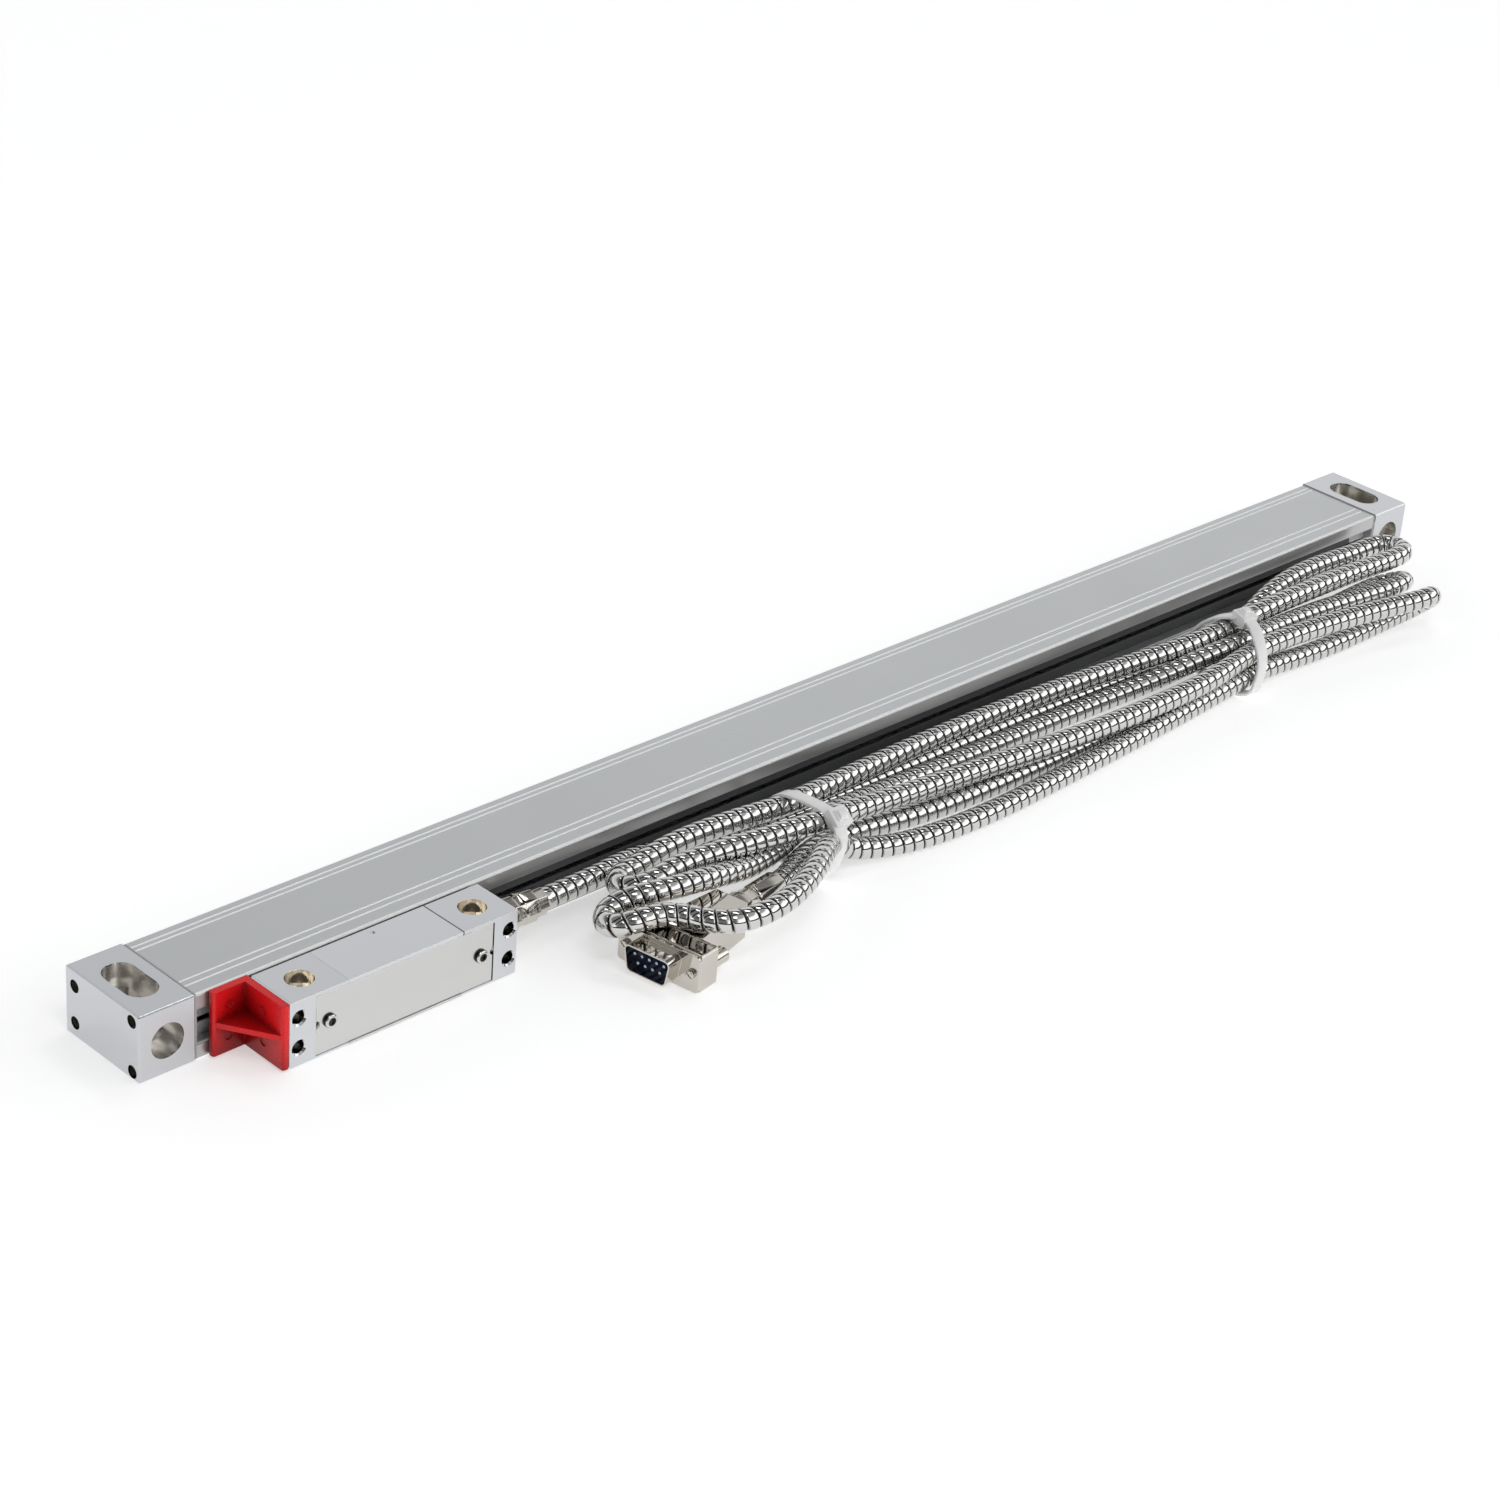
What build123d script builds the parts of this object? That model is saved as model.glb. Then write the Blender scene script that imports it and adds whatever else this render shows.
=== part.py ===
from build123d import *
import math
import os

# Linear glass scale: a sealed aluminium housing with a glass grating inside, a reader head that
# slides along its lip-sealed slot, and the head's armoured cable, coiled in a hank with a 9-way plug.
# Millimetres. X runs along the scale, -Y is the slot side, +Z is up.
# Origin: middle of the length and of the depth, on the bottom face.

# Main sizes of the scale
MEASURING_LENGTH = 450.0
OVER_TRAVEL = 8.0
DEPTH = 35.0
HEIGHT = 22.0
END_BLOCK_LENGTH = 19.5
HEAD_LENGTH = 85.0
OVERALL_LENGTH = MEASURING_LENGTH + HEAD_LENGTH + 2 * END_BLOCK_LENGTH + 2 * OVER_TRAVEL

LEFT = -OVERALL_LENGTH / 2
RIGHT = OVERALL_LENGTH / 2
FRONT = -DEPTH / 2
BACK = DEPTH / 2
MID_HEIGHT = HEIGHT / 2

# Housing extrusion
WALL = 2.4
BACK_WALL = 2.6
FLANGE_DEPTH = 7.5
FLANGE_HEIGHT = 5.0
CORNER_RADIUS = 0.9
GASKET_THICKNESS = 0.6
TOP_LINE_WIDTH = 0.6
TOP_LINE_DEPTH = 0.35
TOP_LINES_FROM_FRONT = (5.7, 8.5)
TOP_LINES_FROM_BACK = (3.4, 5.6)
HOUSING_LEFT = LEFT + END_BLOCK_LENGTH + GASKET_THICKNESS
HOUSING_RIGHT = RIGHT - END_BLOCK_LENGTH - GASKET_THICKNESS

# Screw ports in the extrusion, for the end screws
PORT_RADIUS = 1.05
FRONT_PORT_INSET = 3.1
FRONT_PORT_FROM_FACE = 2.6
BACK_PORT_INSET = 4.2
BACK_PORT_FROM_FACE = 4.8

# Glass grating and its seat
GLASS_THICKNESS = 4.0
GLASS_WIDTH = 13.8
GLASS_END_GAP = 1.5
GROOVE_DEPTH = 4.4
GROOVE_SIDE_GAP = 0.6
CLAMP_STRIP_HEIGHT = 2.0
CLAMP_STRIP_WIDTH = 3.2
GLASS_BOTTOM = MID_HEIGHT - GLASS_THICKNESS / 2
GLASS_TOP = MID_HEIGHT + GLASS_THICKNESS / 2
GROOVE_FRONT = BACK - BACK_WALL - GROOVE_DEPTH
GLASS_REAR = BACK - BACK_WALL - GROOVE_SIDE_GAP
GLASS_FRONT = GLASS_REAR - GLASS_WIDTH

# Lip seals
LIP_ROOT_WIDTH = 1.8
LIP_ROOT_HEIGHT = 1.2
LIP_ROOT_INSET = 4.8
LIP_TIP_INSET = 3.2
LIP_TIP_THICKNESS = 0.7
LIP_SHOULDER = 0.4
BLADE_THICKNESS = 1.4
BLADE_CLEARANCE = 0.3

# End blocks
BLOCK_PROUD = 0.3
BLOCK_CHAMFER = 0.4
END_BORE_RADIUS = 3.3
END_COUNTERBORE_RADIUS = 5.75
END_COUNTERBORE_DEPTH = 6.5
TOP_SLOT_LENGTH = 20.6
TOP_SLOT_RADIUS = 5.4
TOP_SLOT_DEPTH = 6.5
SCREW_HEAD_RADIUS = 1.9
SCREW_HEAD_HEIGHT = 2.0
SCREW_SHANK_RADIUS = 1.0
SCREW_RECESS_DEPTH = 12.0
SCREW_RECESS_CLEARANCE = 0.2
SCREW_REACH = 9.0
HEX_KEY_FLATS = 1.5

# Reader head
HEAD_GAP = 2.0
HEAD_DEPTH = 18.6
HEAD_HEIGHT = 22.0
HEAD_LIFT = 0.5
HEAD_BLOCK_LENGTH = 21.0
HEAD_REST_GAP = 17.9
HEAD_EDGE = 0.4
HEAD_LEFT = LEFT + END_BLOCK_LENGTH + HEAD_REST_GAP
HEAD_RIGHT = HEAD_LEFT + HEAD_LENGTH
HEAD_MIDDLE = (HEAD_LEFT + HEAD_RIGHT) / 2
HEAD_BACK = FRONT - HEAD_GAP
HEAD_FRONT = HEAD_BACK - HEAD_DEPTH
HEAD_CENTRE_Y = (HEAD_BACK + HEAD_FRONT) / 2
HEAD_BOTTOM = HEAD_LIFT
HEAD_TOP = HEAD_BOTTOM + HEAD_HEIGHT
HEAD_CENTRE_Z = (HEAD_BOTTOM + HEAD_TOP) / 2

# Fixing holes of the head
HEAD_BORE_RADIUS = 2.75
HEAD_COUNTERBORE_RADIUS = 4.5
HEAD_COUNTERBORE_DEPTH = 5.5
HEAD_BORE_INSET = 10.3
FACE_THREAD_RADIUS = 2.1
FACE_THREAD_COUNTERSINK = 0.6
FACE_THREAD_DEPTH = 9.0
FACE_THREAD_INSET = 3.3
FACE_THREAD_SPACING = 10.0
BLOCK_SCREW_BACK_INSET = 2.8
BLOCK_SCREW_EDGE_INSET = 3.0
BLOCK_SCREW_HEAD_RADIUS = 2.25
BLOCK_SCREW_HEAD_HEIGHT = 2.5
BLOCK_SCREW_SHANK_RADIUS = 1.25
BLOCK_SCREW_RECESS = 3.0
BLOCK_SCREW_REACH = 6.0
BLOCK_SCREW_HEX_FLATS = 2.0
SCREW_HOLE_CLEARANCE = 0.05

# Centre mark on the head's top face
MARK_RADIUS = 0.75
MARK_DEPTH = 0.5
MARK_BACK_INSET = 2.6

# Cover, gasket and bottom plate of the head
COVER_END_MARGIN = 9.4
COVER_LENGTH = HEAD_LENGTH - 2 * COVER_END_MARGIN
COVER_THICKNESS = 0.8
COVER_TOP_MARGIN = 1.3
COVER_BOTTOM_MARGIN = 0.8
COVER_SIDE_GAP = 0.15
COVER_SINK = 0.1
COVER_NOTCH_RADIUS = 1.3
COVER_SCREW_EDGE = 4.85
COVER_SCREW_RADIUS = 1.25
COVER_SCREW_LENGTH = 4.5
BUTTON_RADIUS = 2.25
BUTTON_HEIGHT = 1.3
BUTTON_CROWN = 0.9
BUTTON_HEX_FLATS = 1.5
SEAL_THICKNESS = 0.3
SEAL_WIDTH = 1.6
PLATE_THICKNESS = 0.7
PLATE_PROUD = 0.3
PLATE_BACK_INSET = 4.0
PLATE_END_GAP = 0.3

# Electronics bay of the head
BAY_LENGTH = 36.0
BAY_HEIGHT = 15.0
BAY_FLOOR = 4.0
BOARD_LEDGE = 2.0
BOARD_LEDGE_WIDTH = 2.5
BOARD_THICKNESS = 1.6
BOARD_GAP = 0.2

# Shipping bracket
BRACKET_LEG = 13.7
BRACKET_THICKNESS = 2.5
BRACKET_EDGE_MARGIN = 0.3
BRACKET_HOUSING_GAP = 0.3
BRACKET_RIB = 1.8
BRACKET_RIB_INSET = 0.8
EJECTOR_RADIUS = 1.4
EJECTOR_DEPTH = 0.3
EJECTOR_FROM_EDGE = 5.4

# Blade, coupling and carriage
BLADE_ROOT_LENGTH = 40.0
BLADE_ROOT_DEPTH = 3.0
BLADE_LENGTH = 52.0
BLADE_TIP_LENGTH = 5.0
BLADE_INNER_REACH = 9.8
COUPLING_LENGTH = 10.0
COUPLING_WIDTH = 2.4
COUPLING_HEIGHT = 6.6
COUPLING_FRONT = 7.9
ROD_RADIUS = 0.6
ROD_INSET = 9.1
ROD_RISE = 2.5
ROD_LENGTH = 33.0
ROD_CLEARANCE = 0.03
CARRIAGE_LENGTH = 60.0
CARRIAGE_WEB_FRONT = 10.6
CARRIAGE_WEB_THICKNESS = 1.6
CARRIAGE_REAR = 26.0
CARRIAGE_GAP = 0.5
ARM_TOP_GAP = 1.2
ARM_BOTTOM_GAP = 0.7
LUG_LENGTH = 4.0

# Carriage bearings
BEARING_RADIUS = 3.0
BEARING_WIDTH = 2.5
BEARING_CHAMFER = 0.2
BEARING_BORE_RADIUS = 1.03
PIN_RADIUS = 1.0
PIN_CLEARANCE = 0.02
ROLLING_GAP = 0.2
BEARING_SIDE_GAP = 0.3
WINDOW_GAP = 0.6
FACE_BEARING_SPACING = 24.0
FACE_BEARING_REACH = 22.0
EDGE_BEARING_OFFSET = 20.0
PIN_OVERHANG = 3.2

# Optics
OPTICS_OFFSET = 11.0
LED_RADIUS = 2.5
LED_FLANGE_RADIUS = 3.2
LED_FLANGE = 0.7
LED_CLEARANCE = 0.05
RETICLE_LENGTH = 12.0
RETICLE_WIDTH = 7.0
RETICLE_THICKNESS = 0.8
SCANNING_GAP = 0.3
DETECTOR_THICKNESS = 1.0
DETECTOR_MARGIN = 1.5

# Cable, gland and hank
CABLE_DIAMETER = 7.5
GLAND_RADIUS = 5.4
GLAND_LENGTH = 15.5
GLAND_COLLAR_RADIUS = 4.75
GLAND_COLLAR_LENGTH = 4.6
GLAND_SPIGOT_RADIUS = 3.0
GLAND_SPIGOT_LENGTH = 5.0
GLAND_BACK_INSET = 6.2
GLAND_RISE = 0.9
WIRE_BORE_RADIUS = 1.5
WIRE_BORE_BACK_INSET = 4.4
HANK_TOP = 21.5
HANK_REACH = 70.0
HANK_HOUSING_GAP = 1.2
HANK_LEAD_WIDTH = 11.9
TIE_WIDTH = 4.8
TIE_THICKNESS = 1.2
TIE_GAP = 0.3
TIE_GROUND_GAP = 0.1
TIE_HEAD = (6.4, 5.4, 4.6)
TIE_CORNER = 5.0
TIE_LEFT_X = -54.0
TIE_LEFT_SPAN = (-54.5, -23.0)
TIE_RIGHT_X = 161.0
TIE_RIGHT_SPAN = (-60.0, -26.5)
TIE_TOP = 19.4

# Route of the lead, from the gland to the hank, after its straight start
LEAD_STRAIGHT = 22.0
LEAD_BEND = (-107.0, -26.3, 9.8)
LEAD_END = (-90.0, -26.3, 9.8)

# Plug, in its own frame: x to the rear from the flange's front, y across, z up
PLUG_PLACE = (-139.9, -65.3)
PLUG_TURN = 9.0
FLANGE_WIDTH = 30.8
FLANGE_THICKNESS = 1.0
PLUG_HEIGHT = 12.5
FLANGE_CORNER = 1.5
JACK_SPACING = 25.0
SHELL_WIDTH = 17.8
SHELL_HEIGHT = 9.2
SHELL_REACH = 6.0
SHELL_WALL = 0.5
SHELL_TAPER = 10.0
SHELL_CORNER = 2.0
INSERT_SINK = 5.2
PLUG_PIN_RADIUS = 0.5
PLUG_PIN_PITCH = 2.77
PLUG_PIN_ROW = 2.84
PLUG_PIN_TIP = 4.6
HOOD_BOX_LENGTH = 8.0
HOOD_NECK_LENGTH = 27.0
HOOD_WIDE = 18.0
HOOD_NARROW = 12.0
HOOD_POCKET = 4.6
HOOD_POCKET_DEPTH = 1.8
HOOD_WALL = 1.4
FERRULE_COLLAR_RADIUS = 5.4
FERRULE_COLLAR_LENGTH = 6.0
FERRULE_RADIUS = 4.8
FERRULE_LENGTH = 18.0
JACK_SHANK_RADIUS = 1.4
JACK_HOLE_CLEARANCE = 0.08
JACK_HEAD_RADIUS = 2.7
JACK_HEAD_LENGTH = 6.0
JACK_HEAD_GAP = 0.3
JACK_SINK = 0.4
JACK_SLOT = 0.7
TAIL_RUN = 8.0

BLOCK_TOP = HEIGHT + BLOCK_PROUD
BLOCK_BACK = BACK + BLOCK_PROUD
BLOCK_FRONT = FRONT - BLOCK_PROUD
COVER_LOW = HEAD_BOTTOM + COVER_BOTTOM_MARGIN
COVER_HIGH = HEAD_TOP - COVER_TOP_MARGIN
COVER_RECESS = COVER_THICKNESS + SEAL_THICKNESS + COVER_SINK
COVER_SCREW_REACH = COVER_LENGTH / 2 - COVER_SCREW_EDGE
BODY_LEFT = HEAD_LEFT + HEAD_BLOCK_LENGTH
BODY_RIGHT = HEAD_RIGHT - HEAD_BLOCK_LENGTH
GLAND_Y = HEAD_BACK - GLAND_BACK_INSET
GLAND_Z = HEAD_CENTRE_Z + GLAND_RISE
LEAD_START_X = HEAD_RIGHT + GLAND_LENGTH + GLAND_COLLAR_LENGTH
HOOD_REAR = FLANGE_THICKNESS + HOOD_BOX_LENGTH + HOOD_NECK_LENGTH
TAIL_START = HOOD_REAR + FERRULE_COLLAR_LENGTH + FERRULE_LENGTH

os.makedirs("parts", exist_ok=True)


def box_between(xs, ys, zs):
    middle = [(low + high) / 2 for low, high in (xs, ys, zs)]
    return Pos(*middle) * Box(xs[1] - xs[0], ys[1] - ys[0], zs[1] - zs[0])


def rod_along_x(x0, x1, y, z, radius):
    return Pos((x0 + x1) / 2, y, z) * Rot(0, 90, 0) * Cylinder(radius, x1 - x0)


def rod_along_y(x, y0, y1, z, radius):
    return Pos(x, (y0 + y1) / 2, z) * Rot(90, 0, 0) * Cylinder(radius, y1 - y0)


def rod_along_z(x, y, z0, z1, radius):
    return Pos(x, y, (z0 + z1) / 2) * Cylinder(radius, z1 - z0)


def section_rect(ys, zs):
    return Pos((ys[0] + ys[1]) / 2, (zs[0] + zs[1]) / 2) * Rectangle(ys[1] - ys[0], zs[1] - zs[0])


def bar(section, x0, x1):
    # A section drawn with Y across and Z up, drawn out along X.
    return extrude(Plane.YZ.offset(x0) * section, amount=x1 - x0)


def save(shape, name):
    export_step(shape, f"parts/{name}.step")


def port_places():
    front = FRONT + FRONT_PORT_INSET
    back = BACK - BACK_PORT_INSET
    return [
        (front, FRONT_PORT_FROM_FACE),
        (front, HEIGHT - FRONT_PORT_FROM_FACE),
        (back, BACK_PORT_FROM_FACE),
        (back, HEIGHT - BACK_PORT_FROM_FACE),
    ]


def top_line_places():
    from_front = [FRONT + inset for inset in TOP_LINES_FROM_FRONT]
    from_back = [BACK - inset for inset in TOP_LINES_FROM_BACK]
    return from_front + from_back


def mirrored_about_slot(section):
    return Pos(0, HEIGHT) * mirror(section, about=Plane.XZ)


# Scale


def make_housing():
    outer = section_rect((FRONT, BACK), (0, HEIGHT))
    outer = fillet(outer.vertices(), CORNER_RADIUS)
    cavity = section_rect((FRONT + FLANGE_DEPTH, BACK - BACK_WALL), (WALL, HEIGHT - WALL))
    mouth = section_rect((FRONT, FRONT + FLANGE_DEPTH), (FLANGE_HEIGHT, HEIGHT - FLANGE_HEIGHT))
    section = outer - cavity - mouth
    # The back corners are filled round the screw ports and leave the groove that holds the glass.
    section += section_rect((GROOVE_FRONT, BACK - BACK_WALL / 2), (WALL / 2, GLASS_BOTTOM))
    section += section_rect(
        (GROOVE_FRONT, BACK - BACK_WALL / 2), (GLASS_TOP + CLAMP_STRIP_HEIGHT, HEIGHT - WALL / 2)
    )
    root_y = (FRONT + LIP_ROOT_INSET, FRONT + LIP_ROOT_INSET + LIP_ROOT_WIDTH)
    section -= section_rect(root_y, (HEIGHT - FLANGE_HEIGHT, HEIGHT - FLANGE_HEIGHT + LIP_ROOT_HEIGHT))
    section -= section_rect(root_y, (FLANGE_HEIGHT - LIP_ROOT_HEIGHT, FLANGE_HEIGHT))
    for y, z in port_places():
        section -= Pos(y, z) * Circle(PORT_RADIUS)
    for y in top_line_places():
        half = TOP_LINE_WIDTH / 2
        section -= make_face(
            Polyline(
                (y - half, HEIGHT), (y, HEIGHT - TOP_LINE_DEPTH), (y + half, HEIGHT), close=True
            )
        )
    return bar(section, HOUSING_LEFT, HOUSING_RIGHT)


def make_glass():
    section = section_rect((GLASS_FRONT, GLASS_REAR), (GLASS_BOTTOM, GLASS_TOP))
    return bar(section, HOUSING_LEFT + GLASS_END_GAP, HOUSING_RIGHT - GLASS_END_GAP)


def make_clamp_strip():
    rear = GLASS_REAR - GROOVE_SIDE_GAP
    section = section_rect(
        (rear - CLAMP_STRIP_WIDTH, rear), (GLASS_TOP, GLASS_TOP + CLAMP_STRIP_HEIGHT)
    )
    return bar(section, HOUSING_LEFT + GLASS_END_GAP, HOUSING_RIGHT - GLASS_END_GAP)


def upper_lip_section():
    root_front = FRONT + LIP_ROOT_INSET
    root_back = root_front + LIP_ROOT_WIDTH
    seat = HEIGHT - FLANGE_HEIGHT
    tip = MID_HEIGHT + BLADE_THICKNESS / 2 + BLADE_CLEARANCE
    tip_front = FRONT + LIP_TIP_INSET
    return make_face(
        Polyline(
            (root_front, seat + LIP_ROOT_HEIGHT),
            (root_back, seat + LIP_ROOT_HEIGHT),
            (root_back, seat),
            (root_back + LIP_SHOULDER, seat),
            (tip_front + LIP_TIP_THICKNESS, tip),
            (tip_front, tip),
            (root_front - LIP_SHOULDER, seat),
            (root_front, seat),
            close=True,
        )
    )


def make_lips():
    upper = upper_lip_section()
    lower = mirrored_about_slot(upper)
    return bar(upper, HOUSING_LEFT, HOUSING_RIGHT), bar(lower, HOUSING_LEFT, HOUSING_RIGHT)


def make_gasket(inner_x, outward):
    section = section_rect((FRONT, BACK), (0, HEIGHT))
    section = fillet(section.vertices(), CORNER_RADIUS)
    for y, z in port_places():
        section -= Pos(y, z) * Circle(SCREW_SHANK_RADIUS + SCREW_RECESS_CLEARANCE)
    low, high = sorted((inner_x, inner_x + outward * GASKET_THICKNESS))
    return bar(section, low, high)


def make_end_block(outer_x, inward):
    inner_x = outer_x + inward * END_BLOCK_LENGTH
    xs = tuple(sorted((outer_x, inner_x)))
    middle = (outer_x + inner_x) / 2
    block = box_between(xs, (BLOCK_FRONT, BLOCK_BACK), (0, BLOCK_TOP))
    block = chamfer(block.edges(), BLOCK_CHAMFER)
    # Fixing bolt through the front, with its counterbore.
    block -= rod_along_y(middle, BLOCK_FRONT, BLOCK_BACK, MID_HEIGHT, END_BORE_RADIUS)
    block -= rod_along_y(
        middle, BLOCK_FRONT, BLOCK_FRONT + END_COUNTERBORE_DEPTH, MID_HEIGHT, END_COUNTERBORE_RADIUS
    )
    # Fixing bolt from the top, in a long slot with a ledge.
    ledge = TOP_SLOT_RADIUS - END_BORE_RADIUS
    wide = SlotOverall(TOP_SLOT_LENGTH, 2 * TOP_SLOT_RADIUS, rotation=90)
    narrow = SlotOverall(TOP_SLOT_LENGTH - 2 * ledge, 2 * END_BORE_RADIUS, rotation=90)
    block -= extrude(Plane.XY.offset(BLOCK_TOP) * Pos(middle, 0) * wide, amount=-TOP_SLOT_DEPTH)
    block -= extrude(Plane.XY.offset(BLOCK_TOP) * Pos(middle, 0) * narrow, amount=-BLOCK_TOP)
    recess_x = tuple(sorted((outer_x, outer_x + inward * SCREW_RECESS_DEPTH)))
    for y, z in port_places():
        block -= rod_along_x(*xs, y, z, SCREW_SHANK_RADIUS + SCREW_RECESS_CLEARANCE)
        block -= rod_along_x(*recess_x, y, z, SCREW_HEAD_RADIUS + SCREW_RECESS_CLEARANCE)
    return block


def cap_screw(head_radius, head_height, shank_radius, shank_length, hex_flats):
    # Head on the -X side of the origin, shank towards +X.
    screw = rod_along_x(-head_height, 0, 0, 0, head_radius)
    screw += rod_along_x(0, shank_length, 0, 0, shank_radius)
    key = RegularPolygon(hex_flats / 2, 6, major_radius=False)
    screw -= extrude(Plane.YZ.offset(-head_height) * key, amount=head_height / 2)
    return screw


def end_screws(outer_x, inward):
    length = END_BLOCK_LENGTH - SCREW_RECESS_DEPTH + GASKET_THICKNESS + SCREW_REACH
    screw = cap_screw(SCREW_HEAD_RADIUS, SCREW_HEAD_HEIGHT, SCREW_SHANK_RADIUS, length, HEX_KEY_FLATS)
    turn = Rot(0, 0, 0) if inward > 0 else Rot(0, 0, 180)
    seat_x = outer_x + inward * SCREW_RECESS_DEPTH
    return Compound(children=[Pos(seat_x, y, z) * turn * screw for y, z in port_places()])


# Reader head


def block_screw_places():
    y = HEAD_BACK - BLOCK_SCREW_BACK_INSET
    return [(y, HEAD_BOTTOM + BLOCK_SCREW_EDGE_INSET), (y, HEAD_TOP - BLOCK_SCREW_EDGE_INSET)]


def cover_recess():
    half = COVER_LENGTH / 2 + COVER_SIDE_GAP
    return box_between(
        (HEAD_MIDDLE - half, HEAD_MIDDLE + half),
        (HEAD_FRONT, HEAD_FRONT + COVER_RECESS),
        (COVER_LOW - COVER_SIDE_GAP, COVER_HIGH + COVER_SIDE_GAP),
    )


def make_head_block(outer_x, inward):
    inner_x = outer_x + inward * HEAD_BLOCK_LENGTH
    xs = tuple(sorted((outer_x, inner_x)))
    block = box_between(xs, (HEAD_FRONT, HEAD_BACK), (HEAD_BOTTOM, HEAD_TOP))
    outer_face = block.faces().sort_by(Axis.X)[0 if inward > 0 else -1]
    block = chamfer(outer_face.edges(), HEAD_EDGE)
    block -= cover_recess()
    bore_x = outer_x + inward * HEAD_BORE_INSET
    block -= rod_along_z(bore_x, HEAD_CENTRE_Y, HEAD_BOTTOM, HEAD_TOP, HEAD_BORE_RADIUS)
    block -= rod_along_z(
        bore_x, HEAD_CENTRE_Y, HEAD_TOP - HEAD_COUNTERBORE_DEPTH, HEAD_TOP, HEAD_COUNTERBORE_RADIUS
    )
    thread_x = outer_x + inward * FACE_THREAD_INSET
    for side in (-1, 1):
        z = HEAD_CENTRE_Z + side * FACE_THREAD_SPACING / 2
        block -= rod_along_y(
            thread_x, HEAD_FRONT, HEAD_FRONT + FACE_THREAD_DEPTH, z, FACE_THREAD_RADIUS
        )
        mouth = Cone(
            FACE_THREAD_RADIUS, FACE_THREAD_RADIUS + FACE_THREAD_COUNTERSINK, FACE_THREAD_COUNTERSINK
        )
        mouth_y = HEAD_FRONT + FACE_THREAD_COUNTERSINK / 2
        block -= Pos(thread_x, mouth_y, z) * Rot(90, 0, 0) * mouth
    hole = BLOCK_SCREW_SHANK_RADIUS + SCREW_HOLE_CLEARANCE
    recess_x = tuple(sorted((outer_x, outer_x + inward * BLOCK_SCREW_RECESS)))
    for y, z in block_screw_places():
        block -= rod_along_x(*xs, y, z, hole)
        block -= rod_along_x(*recess_x, y, z, BLOCK_SCREW_HEAD_RADIUS + SCREW_RECESS_CLEARANCE)
    screw_x = HEAD_MIDDLE - inward * COVER_SCREW_REACH
    block -= rod_along_y(
        screw_x,
        HEAD_FRONT,
        HEAD_FRONT + COVER_RECESS + COVER_SCREW_LENGTH,
        HEAD_CENTRE_Z,
        COVER_SCREW_RADIUS + SCREW_HOLE_CLEARANCE,
    )
    return block


def make_right_head_block():
    block = make_head_block(HEAD_RIGHT, -1)
    spigot = GLAND_SPIGOT_RADIUS + SCREW_HOLE_CLEARANCE
    block -= rod_along_x(HEAD_RIGHT - GLAND_SPIGOT_LENGTH, HEAD_RIGHT, GLAND_Y, GLAND_Z, spigot)
    wire_y = HEAD_BACK - WIRE_BORE_BACK_INSET
    block -= rod_along_x(BODY_RIGHT, HEAD_RIGHT, wire_y, GLAND_Z, WIRE_BORE_RADIUS)
    return block


def make_head_block_screws():
    shank = HEAD_BLOCK_LENGTH - BLOCK_SCREW_RECESS + BLOCK_SCREW_REACH
    screw = cap_screw(
        BLOCK_SCREW_HEAD_RADIUS,
        BLOCK_SCREW_HEAD_HEIGHT,
        BLOCK_SCREW_SHANK_RADIUS,
        shank,
        BLOCK_SCREW_HEX_FLATS,
    )
    screws = []
    for y, z in block_screw_places():
        screws.append(Pos(HEAD_LEFT + BLOCK_SCREW_RECESS, y, z) * screw)
        screws.append(Pos(HEAD_RIGHT - BLOCK_SCREW_RECESS, y, z) * Rot(0, 0, 180) * screw)
    return Compound(children=screws)


def bay_box(length, y0, y1, height):
    half = length / 2
    return box_between(
        (HEAD_MIDDLE - half, HEAD_MIDDLE + half),
        (y0, y1),
        (HEAD_CENTRE_Z - height / 2, HEAD_CENTRE_Z + height / 2),
    )


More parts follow.
